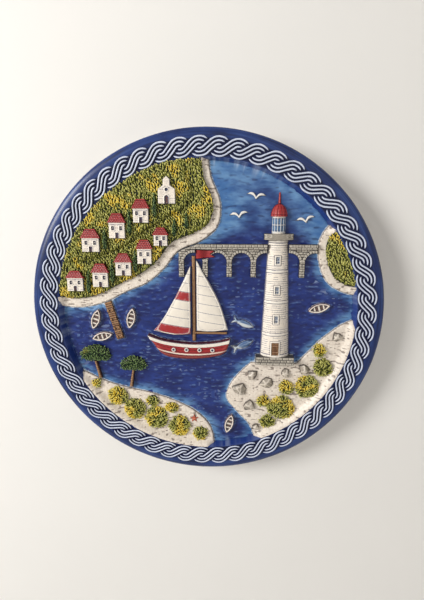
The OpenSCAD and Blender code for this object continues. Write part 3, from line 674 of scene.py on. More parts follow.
def tuft_tree():
    """Blades scattered over the front of a casting, each one curved up and outwards."""
    tree, given, result = node_group("leaf_tufts", "GeometryNodeTree", {
        "Casting": "Geometry", "Spacing": "Float", "Blade Length": "Float", "Blade Width": "Float",
        "Spread": "Float", "Splay": "Float", "Seed": "Int", "Finish": "Material",
    }, {"Foliage": "Geometry"})

    def drawn(low, high):
        inputs = {2: low, 3: high, "Seed": given["Seed"]}
        return add(tree, "FunctionNodeRandomValue", inputs, data_type="FLOAT").outputs[1]

    normal = tree.nodes.new("GeometryNodeInputNormal").outputs[0]
    facing = add(tree, "ShaderNodeSeparateXYZ", {0: normal}).outputs["Y"]
    front = add(tree, "FunctionNodeCompare", {0: facing, 1: -0.3}, data_type="FLOAT", operation="LESS_THAN")
    scatter = add(tree, "GeometryNodeDistributePointsOnFaces", {
        "Mesh": given["Casting"], "Selection": front.outputs[0], "Distance Min": given["Spacing"],
        "Density Max": DENSEST, "Seed": given["Seed"]}, distribute_method="POISSON").outputs

    curve = add(tree, "GeometryNodeCurveQuadraticBezier", {
        "Resolution": 4, "Start": (0.0, 0.12, -0.35), "Middle": (0.3, -0.42, 0.02),
        "End": (-0.12, -0.2, 0.62)}).outputs[0]
    along = tree.nodes.new("GeometryNodeSplineParameter").outputs["Factor"]
    curve = add(tree, "GeometryNodeStoreNamedAttribute", {
        "Geometry": curve, "Name": "tip", "Value": along}).outputs[0]
    swell = times(tree, times(tree, along, maths(tree, "SUBTRACT", 1.08, along)), 3.6)
    swell = maths(tree, "ADD", maths(tree, "POWER", swell, 0.6), 0.04)
    slim = maths(tree, "DIVIDE", times(tree, given["Blade Width"], 0.5), given["Blade Length"])
    section = add(tree, "GeometryNodeCurvePrimitiveCircle", {"Resolution": 5, "Radius": slim})
    blade = add(tree, "GeometryNodeCurveToMesh", {
        "Curve": curve, "Profile Curve": section.outputs["Curve"], "Scale": swell,
        "Fill Caps": True}).outputs[0]

    swing = add(tree, "ShaderNodeCombineXYZ", {0: 0.3, 1: given["Spread"], 2: 0.5}).outputs[0]
    back = vectors(tree, "MULTIPLY", swing, (-1.0, -1.0, -1.0))
    turn = add(tree, "FunctionNodeRandomValue", {0: back, 1: swing, "Seed": given["Seed"]},
               data_type="FLOAT_VECTOR").outputs[0]
    slope = add(tree, "ShaderNodeSeparateXYZ", {0: scatter["Normal"]}).outputs
    outward = times(tree, maths(tree, "ARCTAN2", slope["X"], slope["Z"]), given["Splay"])
    lean = add(tree, "ShaderNodeCombineXYZ", {1: outward}).outputs[0]
    size = drawn(times(tree, given["Blade Length"], 0.75), times(tree, given["Blade Length"], 1.3))
    blades = add(tree, "GeometryNodeInstanceOnPoints", {
        "Points": scatter["Points"], "Instance": blade, "Rotation": vectors(tree, "ADD", turn, lean),
        "Scale": size}).outputs[0]
    blades = add(tree, "GeometryNodeStoreNamedAttribute", {
        "Geometry": blades, "Name": "tone", "Value": drawn(0.0, 1.0)}, domain="INSTANCE").outputs[0]
    blades = add(tree, "GeometryNodeRealizeInstances", {0: blades}).outputs[0]
    blades = add(tree, "GeometryNodeSetShadeSmooth", {0: blades}).outputs[0]
    whole = add(tree, "GeometryNodeJoinGeometry", {0: blades})
    feed(tree, whole, {0: given["Casting"]})
    done = add(tree, "GeometryNodeSetMaterial", {"Geometry": whole.outputs[0], "Material": given["Finish"]})
    feed(tree, result, {0: done.outputs[0]})
    return tree


TUFTS = tuft_tree()


def grown(made, tree, **inputs):
    """Runs a node tree on a piece, keeps the result as its plain mesh and takes the modifier off."""
    modifier = made.modifiers.new(tree.name, "NODES")
    modifier.node_group = tree
    sockets = {s.name: s.identifier for s in tree.interface.items_tree if s.in_out == "INPUT"}
    for name, value in inputs.items():
        modifier[sockets[name.replace("_", " ")]] = value
    bpy.context.view_layer.update()
    mesh = bpy.data.meshes.new_from_object(made.evaluated_get(bpy.context.evaluated_depsgraph_get()))
    made.modifiers.clear()
    old, made.data = made.data, mesh
    bpy.data.meshes.remove(old)
    mesh.name = made.name


# Plate, braid and sea

def corner(middle, radius, start, end, count):
    """Points along an arc, in degrees, or along an oval with a radius for each way."""
    turn = np.radians(np.linspace(start, end, count))
    across, high = np.broadcast_to(radius, 2)
    return [(middle[0] + across * math.cos(t), middle[1] + high * math.sin(t)) for t in turn]


def grid_faces(rows, columns, closed):
    """Faces between rows of points, whose ends meet where they are closed."""
    faces = []
    for k in range(rows - 1):
        for j in range(columns if closed else columns - 1):
            a, b = k * columns + j, k * columns + (j + 1) % columns
            faces.append((a, a + columns, b + columns, b))
    return faces


TURNED = 288  # sides of the turned plate
FOOT_ROUND = 0.8
FOOT_FILLET = 1.2
WELL_ROUND = 0.7  # where the well meets the braid's ground
WELL_SINK = 0.3  # how far the plate lies behind the painted sea
UNDER = RIM - EDGE_T  # how far out the rim's back lies
GLAZED_R = 88.0  # the glaze runs round the edge as far as this


def plate_profile():
    """The section of the plate from the middle of the front round to the middle of the back."""
    widest = (BAND_OUT, RIM - EDGE_DROP)
    slant = (BACK - UNDER) / (BAND_OUT - FOOT_OUT)
    profile = [(r, GROUND - WELL_SINK) for r in np.linspace(0, GROUND_R - 0.4, 8)]
    profile += [(GROUND_R, GROUND - 0.25), (GROUND_R + 0.25, GROUND + 1.0), (GROUND_R + 0.5, GROUND + 2.2)]
    profile += corner((BAND_IN + WELL_ROUND, RIM - WELL_ROUND), WELL_ROUND, 170, 90, 5)
    profile += [(r, RIM) for r in np.linspace(BAND_IN + 2 * WELL_ROUND, BAND_OUT - 0.6, 10)]
    profile += corner(widest, (EDGE_W, EDGE_DROP), 90, 6, 12)
    profile += corner(widest, (EDGE_W, EDGE_T - EDGE_DROP), 0, -90, 15)
    profile += [(r, UNDER + slant * (BAND_OUT - r))
                for r in np.linspace(BAND_OUT - 2, FOOT_OUT + FOOT_FILLET, 14)]
    profile += corner((FOOT_OUT + FOOT_FILLET, BACK - FOOT_FILLET), FOOT_FILLET, 90, 180, 5)
    profile += corner((FOOT_OUT - FOOT_ROUND, FOOT_ROUND), FOOT_ROUND, 0, -90, 6)
    profile += corner((FOOT_IN + FOOT_ROUND, FOOT_ROUND), FOOT_ROUND, -90, -180, 6)
    profile += corner((FOOT_IN - FOOT_FILLET, BACK - FOOT_FILLET), FOOT_FILLET, 0, 90, 5)
    profile += [(r, BACK) for r in np.linspace(FOOT_IN - FOOT_FILLET - 2, 0, 16)]
    return np.array(profile)


def plate_casting():
    """The plate's disc, rolled rim, well and foot ring, turned about its axis."""
    profile = plate_profile()
    rings = profile[1:-1]
    r, out = np.repeat(rings[:, 0], TURNED), np.repeat(rings[:, 1], TURNED)
    angle = np.tile(np.linspace(0, 2 * math.pi, TURNED, endpoint=False), len(rings))
    uneven = 0.14 * rough(90 * np.cos(angle) + out, 90 * np.sin(angle) + out, 14, 3) - 0.09
    outer = np.clip((r - BAND_IN) / 8, 0, 1)
    x, up = (r + uneven * outer) * np.cos(angle), (r + uneven * outer) * np.sin(angle)
    behind = (out < UNDER + 3) | (r < FOOT_OUT + 4) & (out < BACK + 1)
    out = out + np.where(behind & (r < BAND_OUT) & (out > 1), 0.2 * rough(x, up, 9, 5), 0)
    middles = [(0, 0, profile[0, 1]), (0, 0, profile[-1, 1])]
    places = np.concatenate([np.column_stack([x, up, out]), middles])
    first, last = len(places) - 2, len(places) - 1
    end = (len(rings) - 1) * TURNED
    faces = grid_faces(len(rings), TURNED, True)
    faces += [(first, j, (j + 1) % TURNED) for j in range(TURNED)]
    faces += [(last, end + (j + 1) % TURNED, end + j) for j in range(TURNED)]
    r, high = np.append(r, [0, 0]), places[:, 2]
    front = high > GROUND - 1
    trough = step(r, BAND_IN + 0.3, BAND_IN + 1.1) * step(-r, -BAND_OUT + 0.3, -BAND_OUT + 1.4)
    masks = {
        "glaze": np.where(front, 1.0, step(high, UNDER - 0.6, UNDER + 2.2) * (r > GLAZED_R)),
        "trough": trough * front,
        "slope": step(-r, -BAND_IN - 0.6, -BAND_IN) * front * 0.85,
    }
    made = mesh_object("plate_casting", [(places, faces, masks)], plate_material(), 60)
    seat(made, "blue_glaze", "plate_body")


# A strand of the braid lies at the top of the plate: two bends, and a run that leans between them
STRANDS = 55
FIRST_TURN = 1.55  # degrees, clockwise from the top
PITCH = 360 / STRANDS
LEAN = 42.0
RIDGE_W = 1.2
RIDGE_GAP = 0.7
RIDGE_STEP = RIDGE_W + RIDGE_GAP
BAND_CLEAR = 0.1  # between a strand's bend and the band's edge
MID_RISE = 0.98  # height of a strand's middle ridge, and of the two beside it
SIDE_RISE = 0.84
RIDGE_SINK = 0.15
END_TAPER = 1.3  # length over which a ridge is drawn down at its ends
STATIONS = 23  # points along a ridge and across it
ACROSS = 9
BAND_MID = (BAND_OUT + BAND_IN) / 2
HALF_PITCH = BAND_MID * math.sin(math.radians(PITCH / 2))
SWING = (BAND_OUT - BAND_IN) / 2 - BAND_CLEAR - RIDGE_W / 2 - RIDGE_STEP
BEND_R = (HALF_PITCH * math.tan(math.radians(LEAN)) - SWING) / (1 / math.cos(math.radians(LEAN)) - 1)
BEND_AT = np.array([HALF_PITCH, SWING - BEND_R])


def bend_end(radius, side):
    """Angle at which a bend stops, short of the next strand's run."""
    lean = LEAN - side * PITCH
    turn = math.radians(PITCH)
    beside = np.array([BAND_MID * math.sin(turn), -side * BAND_MID * (1 - math.cos(turn))])
    gap = (BEND_AT - beside) @ [-math.sin(math.radians(lean)), math.cos(math.radians(lean))]
    return lean + math.degrees(math.asin((RIDGE_STEP + RIDGE_W / 2 + RIDGE_GAP - gap) / radius))


def ridge_line(offset):
    """Even points along a ridge's middle line, and how far along each one is."""
    inner, outer = BEND_R - offset, BEND_R + offset
    left = np.array(corner(BEND_AT, inner, bend_end(inner, -1), 90 + LEAN, 9)) * -1
    right = np.array(corner(BEND_AT, outer, 90 + LEAN, bend_end(outer, 1), 9))
    line = np.concatenate([left, right])
    travel = np.concatenate([[0], np.cumsum(np.hypot(*np.diff(line, axis=0).T))])
    at = np.linspace(0, travel[-1], STATIONS)
    return np.column_stack([np.interp(at, travel, line[:, k]) for k in (0, 1)]), at


def ridge_part(offset):
    """One rounded ridge of a strand, with its ends drawn down. Its flanks, and its ends where it runs under
    the next strand, are marked for the dark wash: part wash, part painted shade.
    """
    line, at = ridge_line(offset)
    ahead = np.gradient(line, axis=0)
    ahead /= np.hypot(*ahead.T)[:, None]
    side = np.column_stack([-ahead[:, 1], ahead[:, 0]])
    taper = np.sqrt(np.clip(np.minimum(at, at[-1] - at) / END_TAPER, 0.02, 1))
    height = (MID_RISE if offset == 0 else SIDE_RISE) * (0.45 + 0.55 * taper)
    places, marks = [], []
    for k in range(ACROSS):
        turn = math.pi * k / (ACROSS - 1)
        flat = line + side * (RIDGE_W * 0.5 * math.cos(turn) * taper[:, None] ** 0.6)
        out = RIM - RIDGE_SINK + (height + RIDGE_SINK) * math.sin(turn) ** 0.75
        places.append(np.column_stack([flat[:, 0], flat[:, 1] + BAND_MID, out]))
        # Painted shade with the wash: the flanks and the tucked-in ends count as deep hollows, so the wash
        # darkens them
        marks.append(np.full(STATIONS, 2.5 * math.sin(turn) - 2.06) - 0.9 * (1 - taper))
    base = (ACROSS - 1) * STATIONS
    faces = grid_faces(ACROSS, STATIONS, False)
    faces += [(j, j + 1, base + j + 1, base + j) for j in range(STATIONS - 1)]
    faces.append(tuple(k * STATIONS for k in reversed(range(ACROSS))))
    faces.append(tuple(k * STATIONS + STATIONS - 1 for k in range(ACROSS)))
    return np.concatenate(places), faces, {"relief": np.clip(np.concatenate(marks), -1, 1)}


def ring_tree():
    """Turns copies of one piece about the plate's axis, and makes them a little uneven."""
    tree, given, result = node_group("turned_copies", "GeometryNodeTree", {
        "Strand": "Geometry", "Copies": "Int", "Turn": "Float", "Unevenness": "Float", "Finish": "Material",
    }, {"Braid": "Geometry"})
    points = add(tree, "GeometryNodePoints", {"Count": given["Copies"]}).outputs[0]
    place = maths(tree, "DIVIDE", tree.nodes.new("GeometryNodeInputIndex").outputs[0], given["Copies"])
    angle = maths(tree, "ADD", times(tree, place, 2 * math.pi), given["Turn"])
    turn = add(tree, "ShaderNodeCombineXYZ", {1: angle}).outputs[0]
    copies = add(tree, "GeometryNodeInstanceOnPoints", {
        "Points": points, "Instance": given["Strand"], "Rotation": turn}).outputs[0]
    copies = add(tree, "GeometryNodeRealizeInstances", {0: copies}).outputs[0]
    wave = add(tree, "ShaderNodeTexNoise", {"Scale": 260.0, "Detail": 2.0}).outputs["Color"]
    wave = vectors(tree, "SUBTRACT", wave, (0.5, 0.5, 0.5))
    shift = add(tree, "ShaderNodeVectorMath", {0: wave, "Scale": given["Unevenness"]}, operation="SCALE")
    copies = add(tree, "GeometryNodeSetPosition", {"Geometry": copies, "Offset": shift.outputs[0]}).outputs[0]
    done = add(tree, "GeometryNodeSetMaterial", {"Geometry": copies, "Material": given["Finish"]})
    feed(tree, result, {0: done.outputs[0]})
    return tree


def braid():
    """The border: strands of three ridges, turned about the plate's axis."""
    strand = mesh_object("braid_ridges", [ridge_part(k * RIDGE_STEP) for k in (-1, 0, 1)], BRAID, 80)
    grown(strand, ring_tree(), Copies=STRANDS, Turn=math.radians(FIRST_TURN), Unevenness=0.0004, Finish=BRAID)
    seat(strand, "braid_paint", "braid_strands")


SEA_SIDES = 520
# Each shore with the hills that stand on it
SHORES = {"west_shore": ["west_hill"], "far_shore": ["far_hill"], "headland": [], "beach": []}


def sea():
    """The ground of the picture: combed water that pales towards the shores, and a paler sky."""
    turn = np.linspace(0, 2 * math.pi, SEA_SIDES, endpoint=False)
    circle = np.column_stack([np.cos(turn), np.sin(turn)]) * (GROUND_R + 0.2)
    shores = [s for n in SHORES for s in solids(n)]
    standing = ("boat_hull", "rowing_boats", "jetty_deck", "leaping_fish", "lighthouse_plinth")
    wetted = [s for n in standing for s in solids(n)]

    def water(solid, x, up, inset):
        shore, figure_side = nearest(x, up, shores), nearest(x, up, wetted)
        bend = 2.2 * rough(x, up, 16, 21) + 0.35 * np.sin(x / 5.5)
        comb = noise(x, (up + bend) * 3.0, 3.8, 31) + 0.5 * noise(x, (up + bend) * 2.4, 2.3, 33)
        calm = step(up, 34, 52) * step(x, -12, 6)
        out = solid.front - 0.1 + (0.46 - 0.2 * calm) * (comb - 0.75) + 0.25 * rough(x, up, 11, 35)
        out += 0.35 * groove(figure_side - 0.9, 0.8) - 0.3 * step(-inset, -1.0, 0)
        shallow = np.exp(-shore / 5.5) + 0.4 * np.exp(-inset / 4.0) + 0.55 * calm
        foam = 0.8 * np.exp(-shore / 0.9) + 0.7 * np.exp(-figure_side / 0.9)
        edge = np.exp(-inset / (2.2 + 2.6 * noise(x, up, 13, 37)))
        return out, {"shallow": np.clip(shallow, 0, 1), "foam": np.clip(foam, 0, 1), "edge": edge}

    disc = Solid([circle], GROUND - 0.6, GROUND)
    seat(mesh_object("painted_sea", [cast(disc, 0.62, water)], sea_material(), 70), "blue_glaze")


# Land

WELL_SIDE = GROUND_R - 0.4  # an outline past this radius lies against the well's side
SAND_REACH = BAND_IN + 0.3
LEAF_REACH = BAND_IN - 0.3


def banked(solid, reach):
    """The solid with its round side carried out against the braid."""
    loops = []
    for loop in solid.loops:
        radius = np.hypot(*loop.T)[:, None]
        loops.append(np.where(radius > WELL_SIDE, loop * reach / radius, loop))
    return Solid(loops, solid.foot, solid.front)


def open_side(solid):
    """The sides of a banked outline that are clear of the braid."""
    return [(a, b) for a, b in sides(solid.loops) if min(np.hypot(*a), np.hypot(*b)) < WELL_SIDE]


def bank(x, up, coast, start):
    """How far the ground has risen to the braid, from 0 to 1, and not at the shoreline."""
    return step(np.hypot(x, up), start, BAND_IN) * step(coast, 0.0, 5.0)


def sandy(hills):
    """Pitted sand with dabs of the brush, banked up where no hill hides it."""
    def shape(solid, x, up, inset):
        coast = distance(x, up, open_side(solid))
        dabs = noise(x * 0.5, up * 1.6, 1.1, 43)
        pitted = 0.13 * groove(cells(x, up, 1.5, 41), 0.42) - 0.2 * step(dabs, 0.72, 0.86)
        out = solid.front - rounded(coast, 0.9) + 0.35 * rough(x, up, 7, 45) - 0.18 + pitted
        hidden = np.zeros(len(x), bool)
        for hill in hills:
            hidden |= within(x, up, hill.loops)
        rise = bank(x, up, coast, BAND_IN - 4.6) * (RIM + 0.2 - solid.front)
        worn = pitted + 0.03 - 0.4 * rounded(coast, 0.9)
        return out + np.where(hidden, 0, rise), {"relief": np.clip(worn / 0.11, -1, 1)}
    return shape


def leafy(edge, lumps, size, seed):
    """Ground under leaves: rolling lumps with a rounded edge."""
    def shape(solid, x, up, inset):
        coast = distance(x, up, open_side(solid))
        out = solid.front - 0.5 - rounded(coast, edge) + lumps * rough(x, up, size, seed)
        return out + bank(x, up, coast, BAND_IN - 4.2) * max(RIM - solid.front, 0), {}
    return shape


def lobed(solid, seed):
    """Draws a bush's outline in and out, without changing its middle or its size."""
    for loop in solid.loops:
        loop += (loop - solid.mid) * 0.4 * rough(loop[:, 0], loop[:, 1], 3.4, seed)[:, None]


def domed(seed):
    """A bush: a dome with lobes."""
    def shape(solid, x, up, inset):
        rise = solid.front - solid.foot - 0.7
        share = np.clip(inset / (solid.size[0] / 2), 0, 1)
        dome = np.sqrt(np.clip(share * (2 - share), 0, 1))
        return np.minimum(solid.foot + rise * dome + 1.1 * rough(x, up, 3, seed), solid.front), {}
    return shape


def streaked(solid, x, up, inset):
    """A cypress or a pine crown: swelling to the middle, combed upwards."""
    rise = solid.front - solid.foot - 0.7
    share = np.clip(inset / (min(solid.size) / 2), 0, 1)
    out = solid.foot + rise * np.sqrt(share * (2 - share)) + 0.3 * rough(x * 2.2, up * 0.7, 1.2, 51)
    return out, {}


FACETS = 7


def craggy(solid, x, up, inset):
    """A boulder split along flat faces that lean in from all round."""
    reach = solid.size.max() / 2
    face = np.arange(FACETS)
    mark = np.full(FACETS, round(solid.mid[0] * 10))
    turn = 2 * math.pi * (face + 0.8 * lattice(face, mark, 61)) / FACETS
    steep = 0.45 + 0.85 * lattice(face, mark, 63)
    high = 1.0 + 0.4 * lattice(face, mark, 65)
    side, over = (x - solid.mid[0]) / reach, (up - solid.mid[1]) / reach
    out = 0.96 - 0.1 * side + 0.06 * over
    for k in face:
        out = np.minimum(out, high[k] - steep[k] * (side * math.cos(turn[k]) + over * math.sin(turn[k])))
    out = solid.foot + (solid.front - solid.foot) * out - rounded(inset, 0.3) + 0.22 * rough(x, up, 0.9, 67)
    return np.clip(out, solid.foot + 0.2, solid.front), {}


def foliage(name, node, cell, shape, finish, blades, seed, lobes=None):
    """A casting covered in leaf tufts, of which blades gives the spacing, length, width, spread and splay."""
    spacing, length, width, spread, splay = blades
    grounds = [banked(solid, LEAF_REACH) for solid in solids(node)]
    if lobes:
        for ground in grounds:
            lobed(ground, lobes)
    made = mesh_object(name, [cast(ground, cell, shape) for ground in grounds], finish)
    grown(made, TUFTS, Spacing=spacing * MM, Blade_Length=length * MM, Blade_Width=width * MM, Spread=spread,
          Splay=splay, Seed=seed, Finish=finish)
    seat(made, "leaf_paint", node)


HILL_BLADES = (0.84, 1.85, 0.66, 0.7, 0.0)
BUSH_BLADES = (0.7, 1.8, 0.62, 0.8, 0.8)
CYPRESS_BLADES = (0.5, 1.3, 0.42, 0.25, 0.15)
CROWN_BLADES = (0.62, 1.7, 0.48, 0.5, 1.0)


def land():
    for node, over in SHORES.items():
        shores = [banked(s, SAND_REACH) for s in solids(node)]
        hills = [banked(s, SAND_REACH + 1) for n in over for s in solids(n)]
        made = mesh_object(node + "_sand", [cast(s, 0.5, sandy(hills)) for s in shores], SAND)
        seat(made, "sand_paint", node)
    foliage("west_hill_leaves", "west_hill", 0.8, leafy(1.6, 1.2, 7, 71), LEAF, HILL_BLADES, 1)
    foliage("hill_terrace_leaves", "hill_terrace", 0.8, leafy(1.4, 1.0, 6, 73), LEAF, HILL_BLADES, 2)
    foliage("far_hill_leaves", "far_hill", 0.8, leafy(1.4, 1.0, 6, 75), LEAF, HILL_BLADES, 3)
    foliage("headland_bush_leaves", "headland_bushes", 0.5, domed(77), BUSH, BUSH_BLADES, 4, lobes=77)
    foliage("beach_bush_leaves", "beach_bushes", 0.5, domed(79), BUSH, BUSH_BLADES, 5, lobes=79)
    foliage("cypress_leaves", "cypress_trees", 0.4, streaked, PINE, CYPRESS_BLADES, 6)
    foliage("pine_crown_leaves", "pine_crowns", 0.5, streaked, PINE, CROWN_BLADES, 7)
    figure("headland_crags", "headland_rocks", 0.3, craggy, ROCK, "stone_paint", 40)


# Village and bridge

# Heights and lengths of the stones
HOUSE_STONE = (0.9, 2.2)
CHAPEL_STONE = (0.95, 2.3)
BRIDGE_STONE = (1.35, 2.9)
PLINTH_STONE = (1.6, 3.6)
TOWER_BRICK = (1.25, 3.1)
COPING_L = 3.2
HOUSE_PANE = (1.42, 2.17)  # width and height
HOUSE_DOOR = (1.67, 3.0)


def house_wall(solid, x, up, inset):
    """A rendered wall with two windows, a door, an eaves board and a plinth."""
    width, height = solid.size
    pane_w, pane_h = HOUSE_PANE
    door_w, door_h = HOUSE_DOOR
    sill = 0.52 * height
    side, rise = np.abs(x - solid.mid[0]), up - solid.low[1]
    level, _, tone = courses(x, up, *HOUSE_STONE, 81)
    out = solid.front - 0.25 - rounded(inset, 0.2) + 0.12 * rough(x, up, 2.2, 83)
    out -= 0.09 * groove(level, 0.12) * (tone > 0.45)
    window = np.maximum(np.abs(side - width / 4) - pane_w / 2, np.abs(rise - sill - pane_h / 2) - pane_h / 2)
    opening = np.minimum(window, np.maximum(side - door_w / 2, rise - door_h))
    out += 0.22 * groove(np.maximum(opening - 0.22, 0), 0.16) * (opening > 0)
    hollow = step(-opening, -0.06, 0.1)
    out -= 0.62 * hollow
    cross = groove(side - width / 4, 0.12) + groove(rise - sill - pane_h / 2, 0.12)
    out += 0.3 * np.clip(cross, 0, 1) * (window < 0)
    out += 0.2 * step(rise, height - 0.75, height - 0.6)
    out += 0.14 * step(-rise, -0.8, -0.65) * (side > door_w / 2)
    return out, {"pane": step(-window, -0.05, 0.12) * (1 - 0.85 * np.clip(cross, 0, 1)),
                 "door": hollow * (window > 0)}


TILE_ROW = 1.05
TILE_W = 0.92


def tiled(solid, x, up, inset):
    """A roof that leans back, with rows of half-round tiles."""
    height = solid.size[1]
    rise = up - solid.low[1]
    row = np.floor(rise / TILE_ROW)
    lap = rise / TILE_ROW - row
    crown = np.abs(np.sin(math.pi * ((x - solid.mid[0]) / TILE_W + 0.5 * (row % 2))))
    out = solid.front - 0.35 - 0.8 * rise / height + 0.2 * crown ** 0.7 - 0.2 * lap + 0.05
    return out + (0.28 * step(rise, height - 0.75, height - 0.5) - rounded(inset, 0.18)), {}


CHAPEL_DOOR = (1.15, 3.2)  # half its width, and how high its arch starts
ROSE = (0.85, 7.3)  # radius of the round window, and how high its middle is


def chapel_wall(solid, x, up, inset):
    """A gabled front with an arched door, a round window and a bell gable."""
    side, rise = np.abs(x - solid.mid[0]), up - solid.low[1]
    level, _, tone = courses(x, up, *CHAPEL_STONE, 85)
    out = solid.front - 0.2 - rounded(inset, 0.22) + 0.1 * rough(x, up, 2, 87)
    out -= 0.1 * groove(level, 0.12) * (tone > 0.4)
    half, spring = CHAPEL_DOOR
    arch = np.where(rise < spring, side - half, np.hypot(side, rise - spring) - half)
    rose = np.hypot(side, rise - ROSE[1]) - ROSE[0]
    opening = np.minimum(arch, rose)
    out += 0.26 * groove(np.maximum(opening - 0.25, 0), 0.2) * (opening > 0)
    out -= 0.6 * step(-opening, -0.06, 0.1)
    gable = groove(rise - 7.5 - 1.9 * (1 - side / 4.6), 0.22) * (side > 1.0)
    out += 0.22 * (gable + groove(rise - 12.1, 0.25))
    return out, {"pane": step(-rose, -0.05, 0.1), "door": step(-arch, -0.05, 0.1)}


ARCH_R = 6.2 * UNIT
ARCH_XS = [(-16 + 16 * (k + 0.5)) * UNIT for k in range(6)]
SPRING = 35 * UNIT
DECK = 47 * UNIT
RING_HALF = 0.75  # half the width of the ring of stones over an arch
WEDGE = 15  # degrees of a stone in that ring, and about its width
WEDGE_W = 1.5
STONE_JOINT = 0.16


def masonry(solid, x, up, inset):
    """Coursed stone with rings of wedge stones over the arches."""
    level, upright, tone = courses(x, up, *BRIDGE_STONE, 91)
    out = solid.front - 0.25 - rounded(inset, 0.25) + 0.16 * (tone - 0.5) + 0.14 * rough(x, up, 1.8, 93)
    ring = np.full(len(x), 9.0)
    angle = np.zeros(len(x))
    for middle in ARCH_XS:
        own = np.abs(np.hypot(x - middle, up - SPRING) - ARCH_R - RING_HALF)
        closer = own < ring
        ring = np.where(closer, own, ring)
        angle = np.where(closer, np.arctan2(up - SPRING, x - middle), angle)
    wedge = np.abs((np.degrees(angle) / WEDGE) % 1 - 0.5)
    in_ring = (ring < RING_HALF) & (up > SPRING)
    coursed = np.maximum(groove(level, STONE_JOINT), groove(upright, STONE_JOINT))
    joint = np.where(in_ring, groove((0.5 - wedge) * WEDGE_W, STONE_JOINT), coursed)
    out += np.where(in_ring, 0.22, 0) - 0.3 * joint
    return out + 0.25 * step(up, DECK - 3.1, DECK - 2.9), {}


def coping(solid, x, up, inset):
    """Long flat stones in a row."""
    joint = groove(joint_gap(x, COPING_L), STONE_JOINT)
    return solid.front - rounded(inset, 0.3) - 0.3 * joint + 0.1 * rough(x, up, 1.5, 95), {}


def village():
    for name, node, cell, shape, finish, slot in (
        ("house_fronts", "house_walls", 0.24, house_wall, WALL, "cream_paint"),
        ("house_tiles", "house_roofs", 0.2, tiled, ROOF, "red_paint"),
        ("chapel_front", "chapel", 0.24, chapel_wall, WALL, "cream_paint"),
        ("bridge_masonry", "stone_bridge", 0.32, masonry, STONE, "stone_paint"),
        ("bridge_coping", "bridge_parapet", 0.3, coping, STONE, "stone_paint"),
    ):
        figure(name, node, cell, shape, finish, slot, 40)


# Lighthouse

def turned_face(solid, x, half, axis):
    """The front of a round form: how far out it lies, the angle to the side, and its radius."""
    radius = np.sqrt(half ** 2 + axis ** 2)
    side = x - solid.mid[0]
    face = GROUND + np.sqrt(np.maximum(radius ** 2 - side ** 2, 0)) - axis
    return face, np.arcsin(np.clip(side / radius, -1, 1)), radius


BRICK_R = 9.0  # radius on which the tower's bricks are set out
STRING_COURSES = (0.2, 0.48, 0.74)  # shares of the tower's height


def tower_wall(solid, x, up, inset):
    """Round brickwork with string courses, and a raised frame around each opening."""
    foot, top = solid.low[1], solid.high[1]
    face, turn, _ = turned_face(solid, x, solid.half_width(up), TOWER_AXIS)
    level, upright, tone = courses(turn * BRICK_R, up, *TOWER_BRICK, 101)
    out = face - 0.2 + 0.1 * rough(x, up, 2.4, 103) - 0.22 * groove(level, 0.14) * (tone > 0.32)
    out -= 0.14 * groove(upright, 0.13) * (tone > 0.55)
    for share in STRING_COURSES:
        gap = np.abs(up - (foot + solid.size[1] * share))
        out += 0.3 * step(-gap, -0.75, -0.5) - 0.15 * groove(gap - 0.95, 0.16)
    out += 0.55 * step(up, top - 1.6, top - 0.9) + 0.3 * step(up, top - 3.0, top - 2.6)
    out += 0.5 * step(-up, -foot - 1.5, -foot - 1.0)
    for opening in solids("tower_windows") + solids("tower_door"):
        gap = np.maximum(np.abs(x - opening.mid[0]) - opening.size[0] / 2,
                         np.abs(up - opening.mid[1]) - opening.size[1] / 2)
        out = np.where(gap < 0.75, face + 0.12, out) - 0.3 * groove(gap - 0.85, 0.13)
        out = np.where(gap < 0.1, opening.foot - 0.05, out)
    return np.maximum(out, solid.foot + 0.1), {}


def stone_blocks(solid, x, up, inset):
    """Large squared stones."""
    level, upright, _ = courses(x, up - solid.low[1], *PLINTH_STONE, 107)
    joint = np.maximum(groove(level, STONE_JOINT), groove(upright, STONE_JOINT))
    return solid.front - 0.15 - rounded(inset, 0.3) - 0.28 * joint + 0.2 * rough(x, up, 2, 109), {}


DOOR_PLANK = 0.8
DOOR_STRAPS = (1.6, 5.4)  # heights of the straps


def plank_door(solid, x, up, inset):
    """Upright planks with two straps across them."""
    rise = up - solid.low[1]
    joint = groove(joint_gap(x - solid.low[0], DOOR_PLANK), 0.1)
    out = solid.front - 0.55 - rounded(inset, 0.15) - 0.22 * joint
    out += 0.2 * sum(groove(rise - strap, 0.3) for strap in DOOR_STRAPS)
    return np.minimum(out, solid.front), {}


def window_pane(solid, x, up, inset):
    """A pane behind a frame and crossed bars."""
    side, rise = np.abs(x - solid.mid[0]), up - solid.low[1]
    bar = groove(side, 0.14) + groove(rise - 0.4 * solid.size[1], 0.14) + groove(inset, 0.16)
    bar = np.clip(bar, 0, 1)
    return solid.foot + 0.35 + 0.28 * bar, {"frame": bar}


def gallery_ledge(solid, x, up, inset):
    """A ledge that bows out at its middle."""
    side = (x - solid.mid[0]) / (solid.size[0] / 2)
    return solid.front - 2.2 * side ** 2 - rounded(inset, 0.2) + 0.06 * rough(x, up, 1.2, 105), {}


LANTERN_RISE = 3.2  # how far the glazing bows out
LANTERN_BARS = 1.75


def lantern(solid, x, up, inset):
    """Round glazing behind upright and level bars."""
    width, height = solid.size
    axis = (width ** 2 / 4 - LANTERN_RISE ** 2) / (2 * LANTERN_RISE)
    face, turn, radius = turned_face(solid, x, width / 2, axis)
    rise = (up - solid.low[1]) / height
    bar = groove(np.abs((turn * radius / LANTERN_BARS) % 1 - 0.5) * LANTERN_BARS, 0.2)
    bar = bar + groove((rise - 0.5) * height, 0.18)
    bar = np.clip(bar + step(-rise, -0.14, -0.1) + step(rise, 0.88, 0.92), 0, 1)
    return face - 0.4 + 0.35 * bar, {"frame": bar}


CAP_H = 6.6  # the finial starts above this
RIB = 0.55  # radians from rib to rib


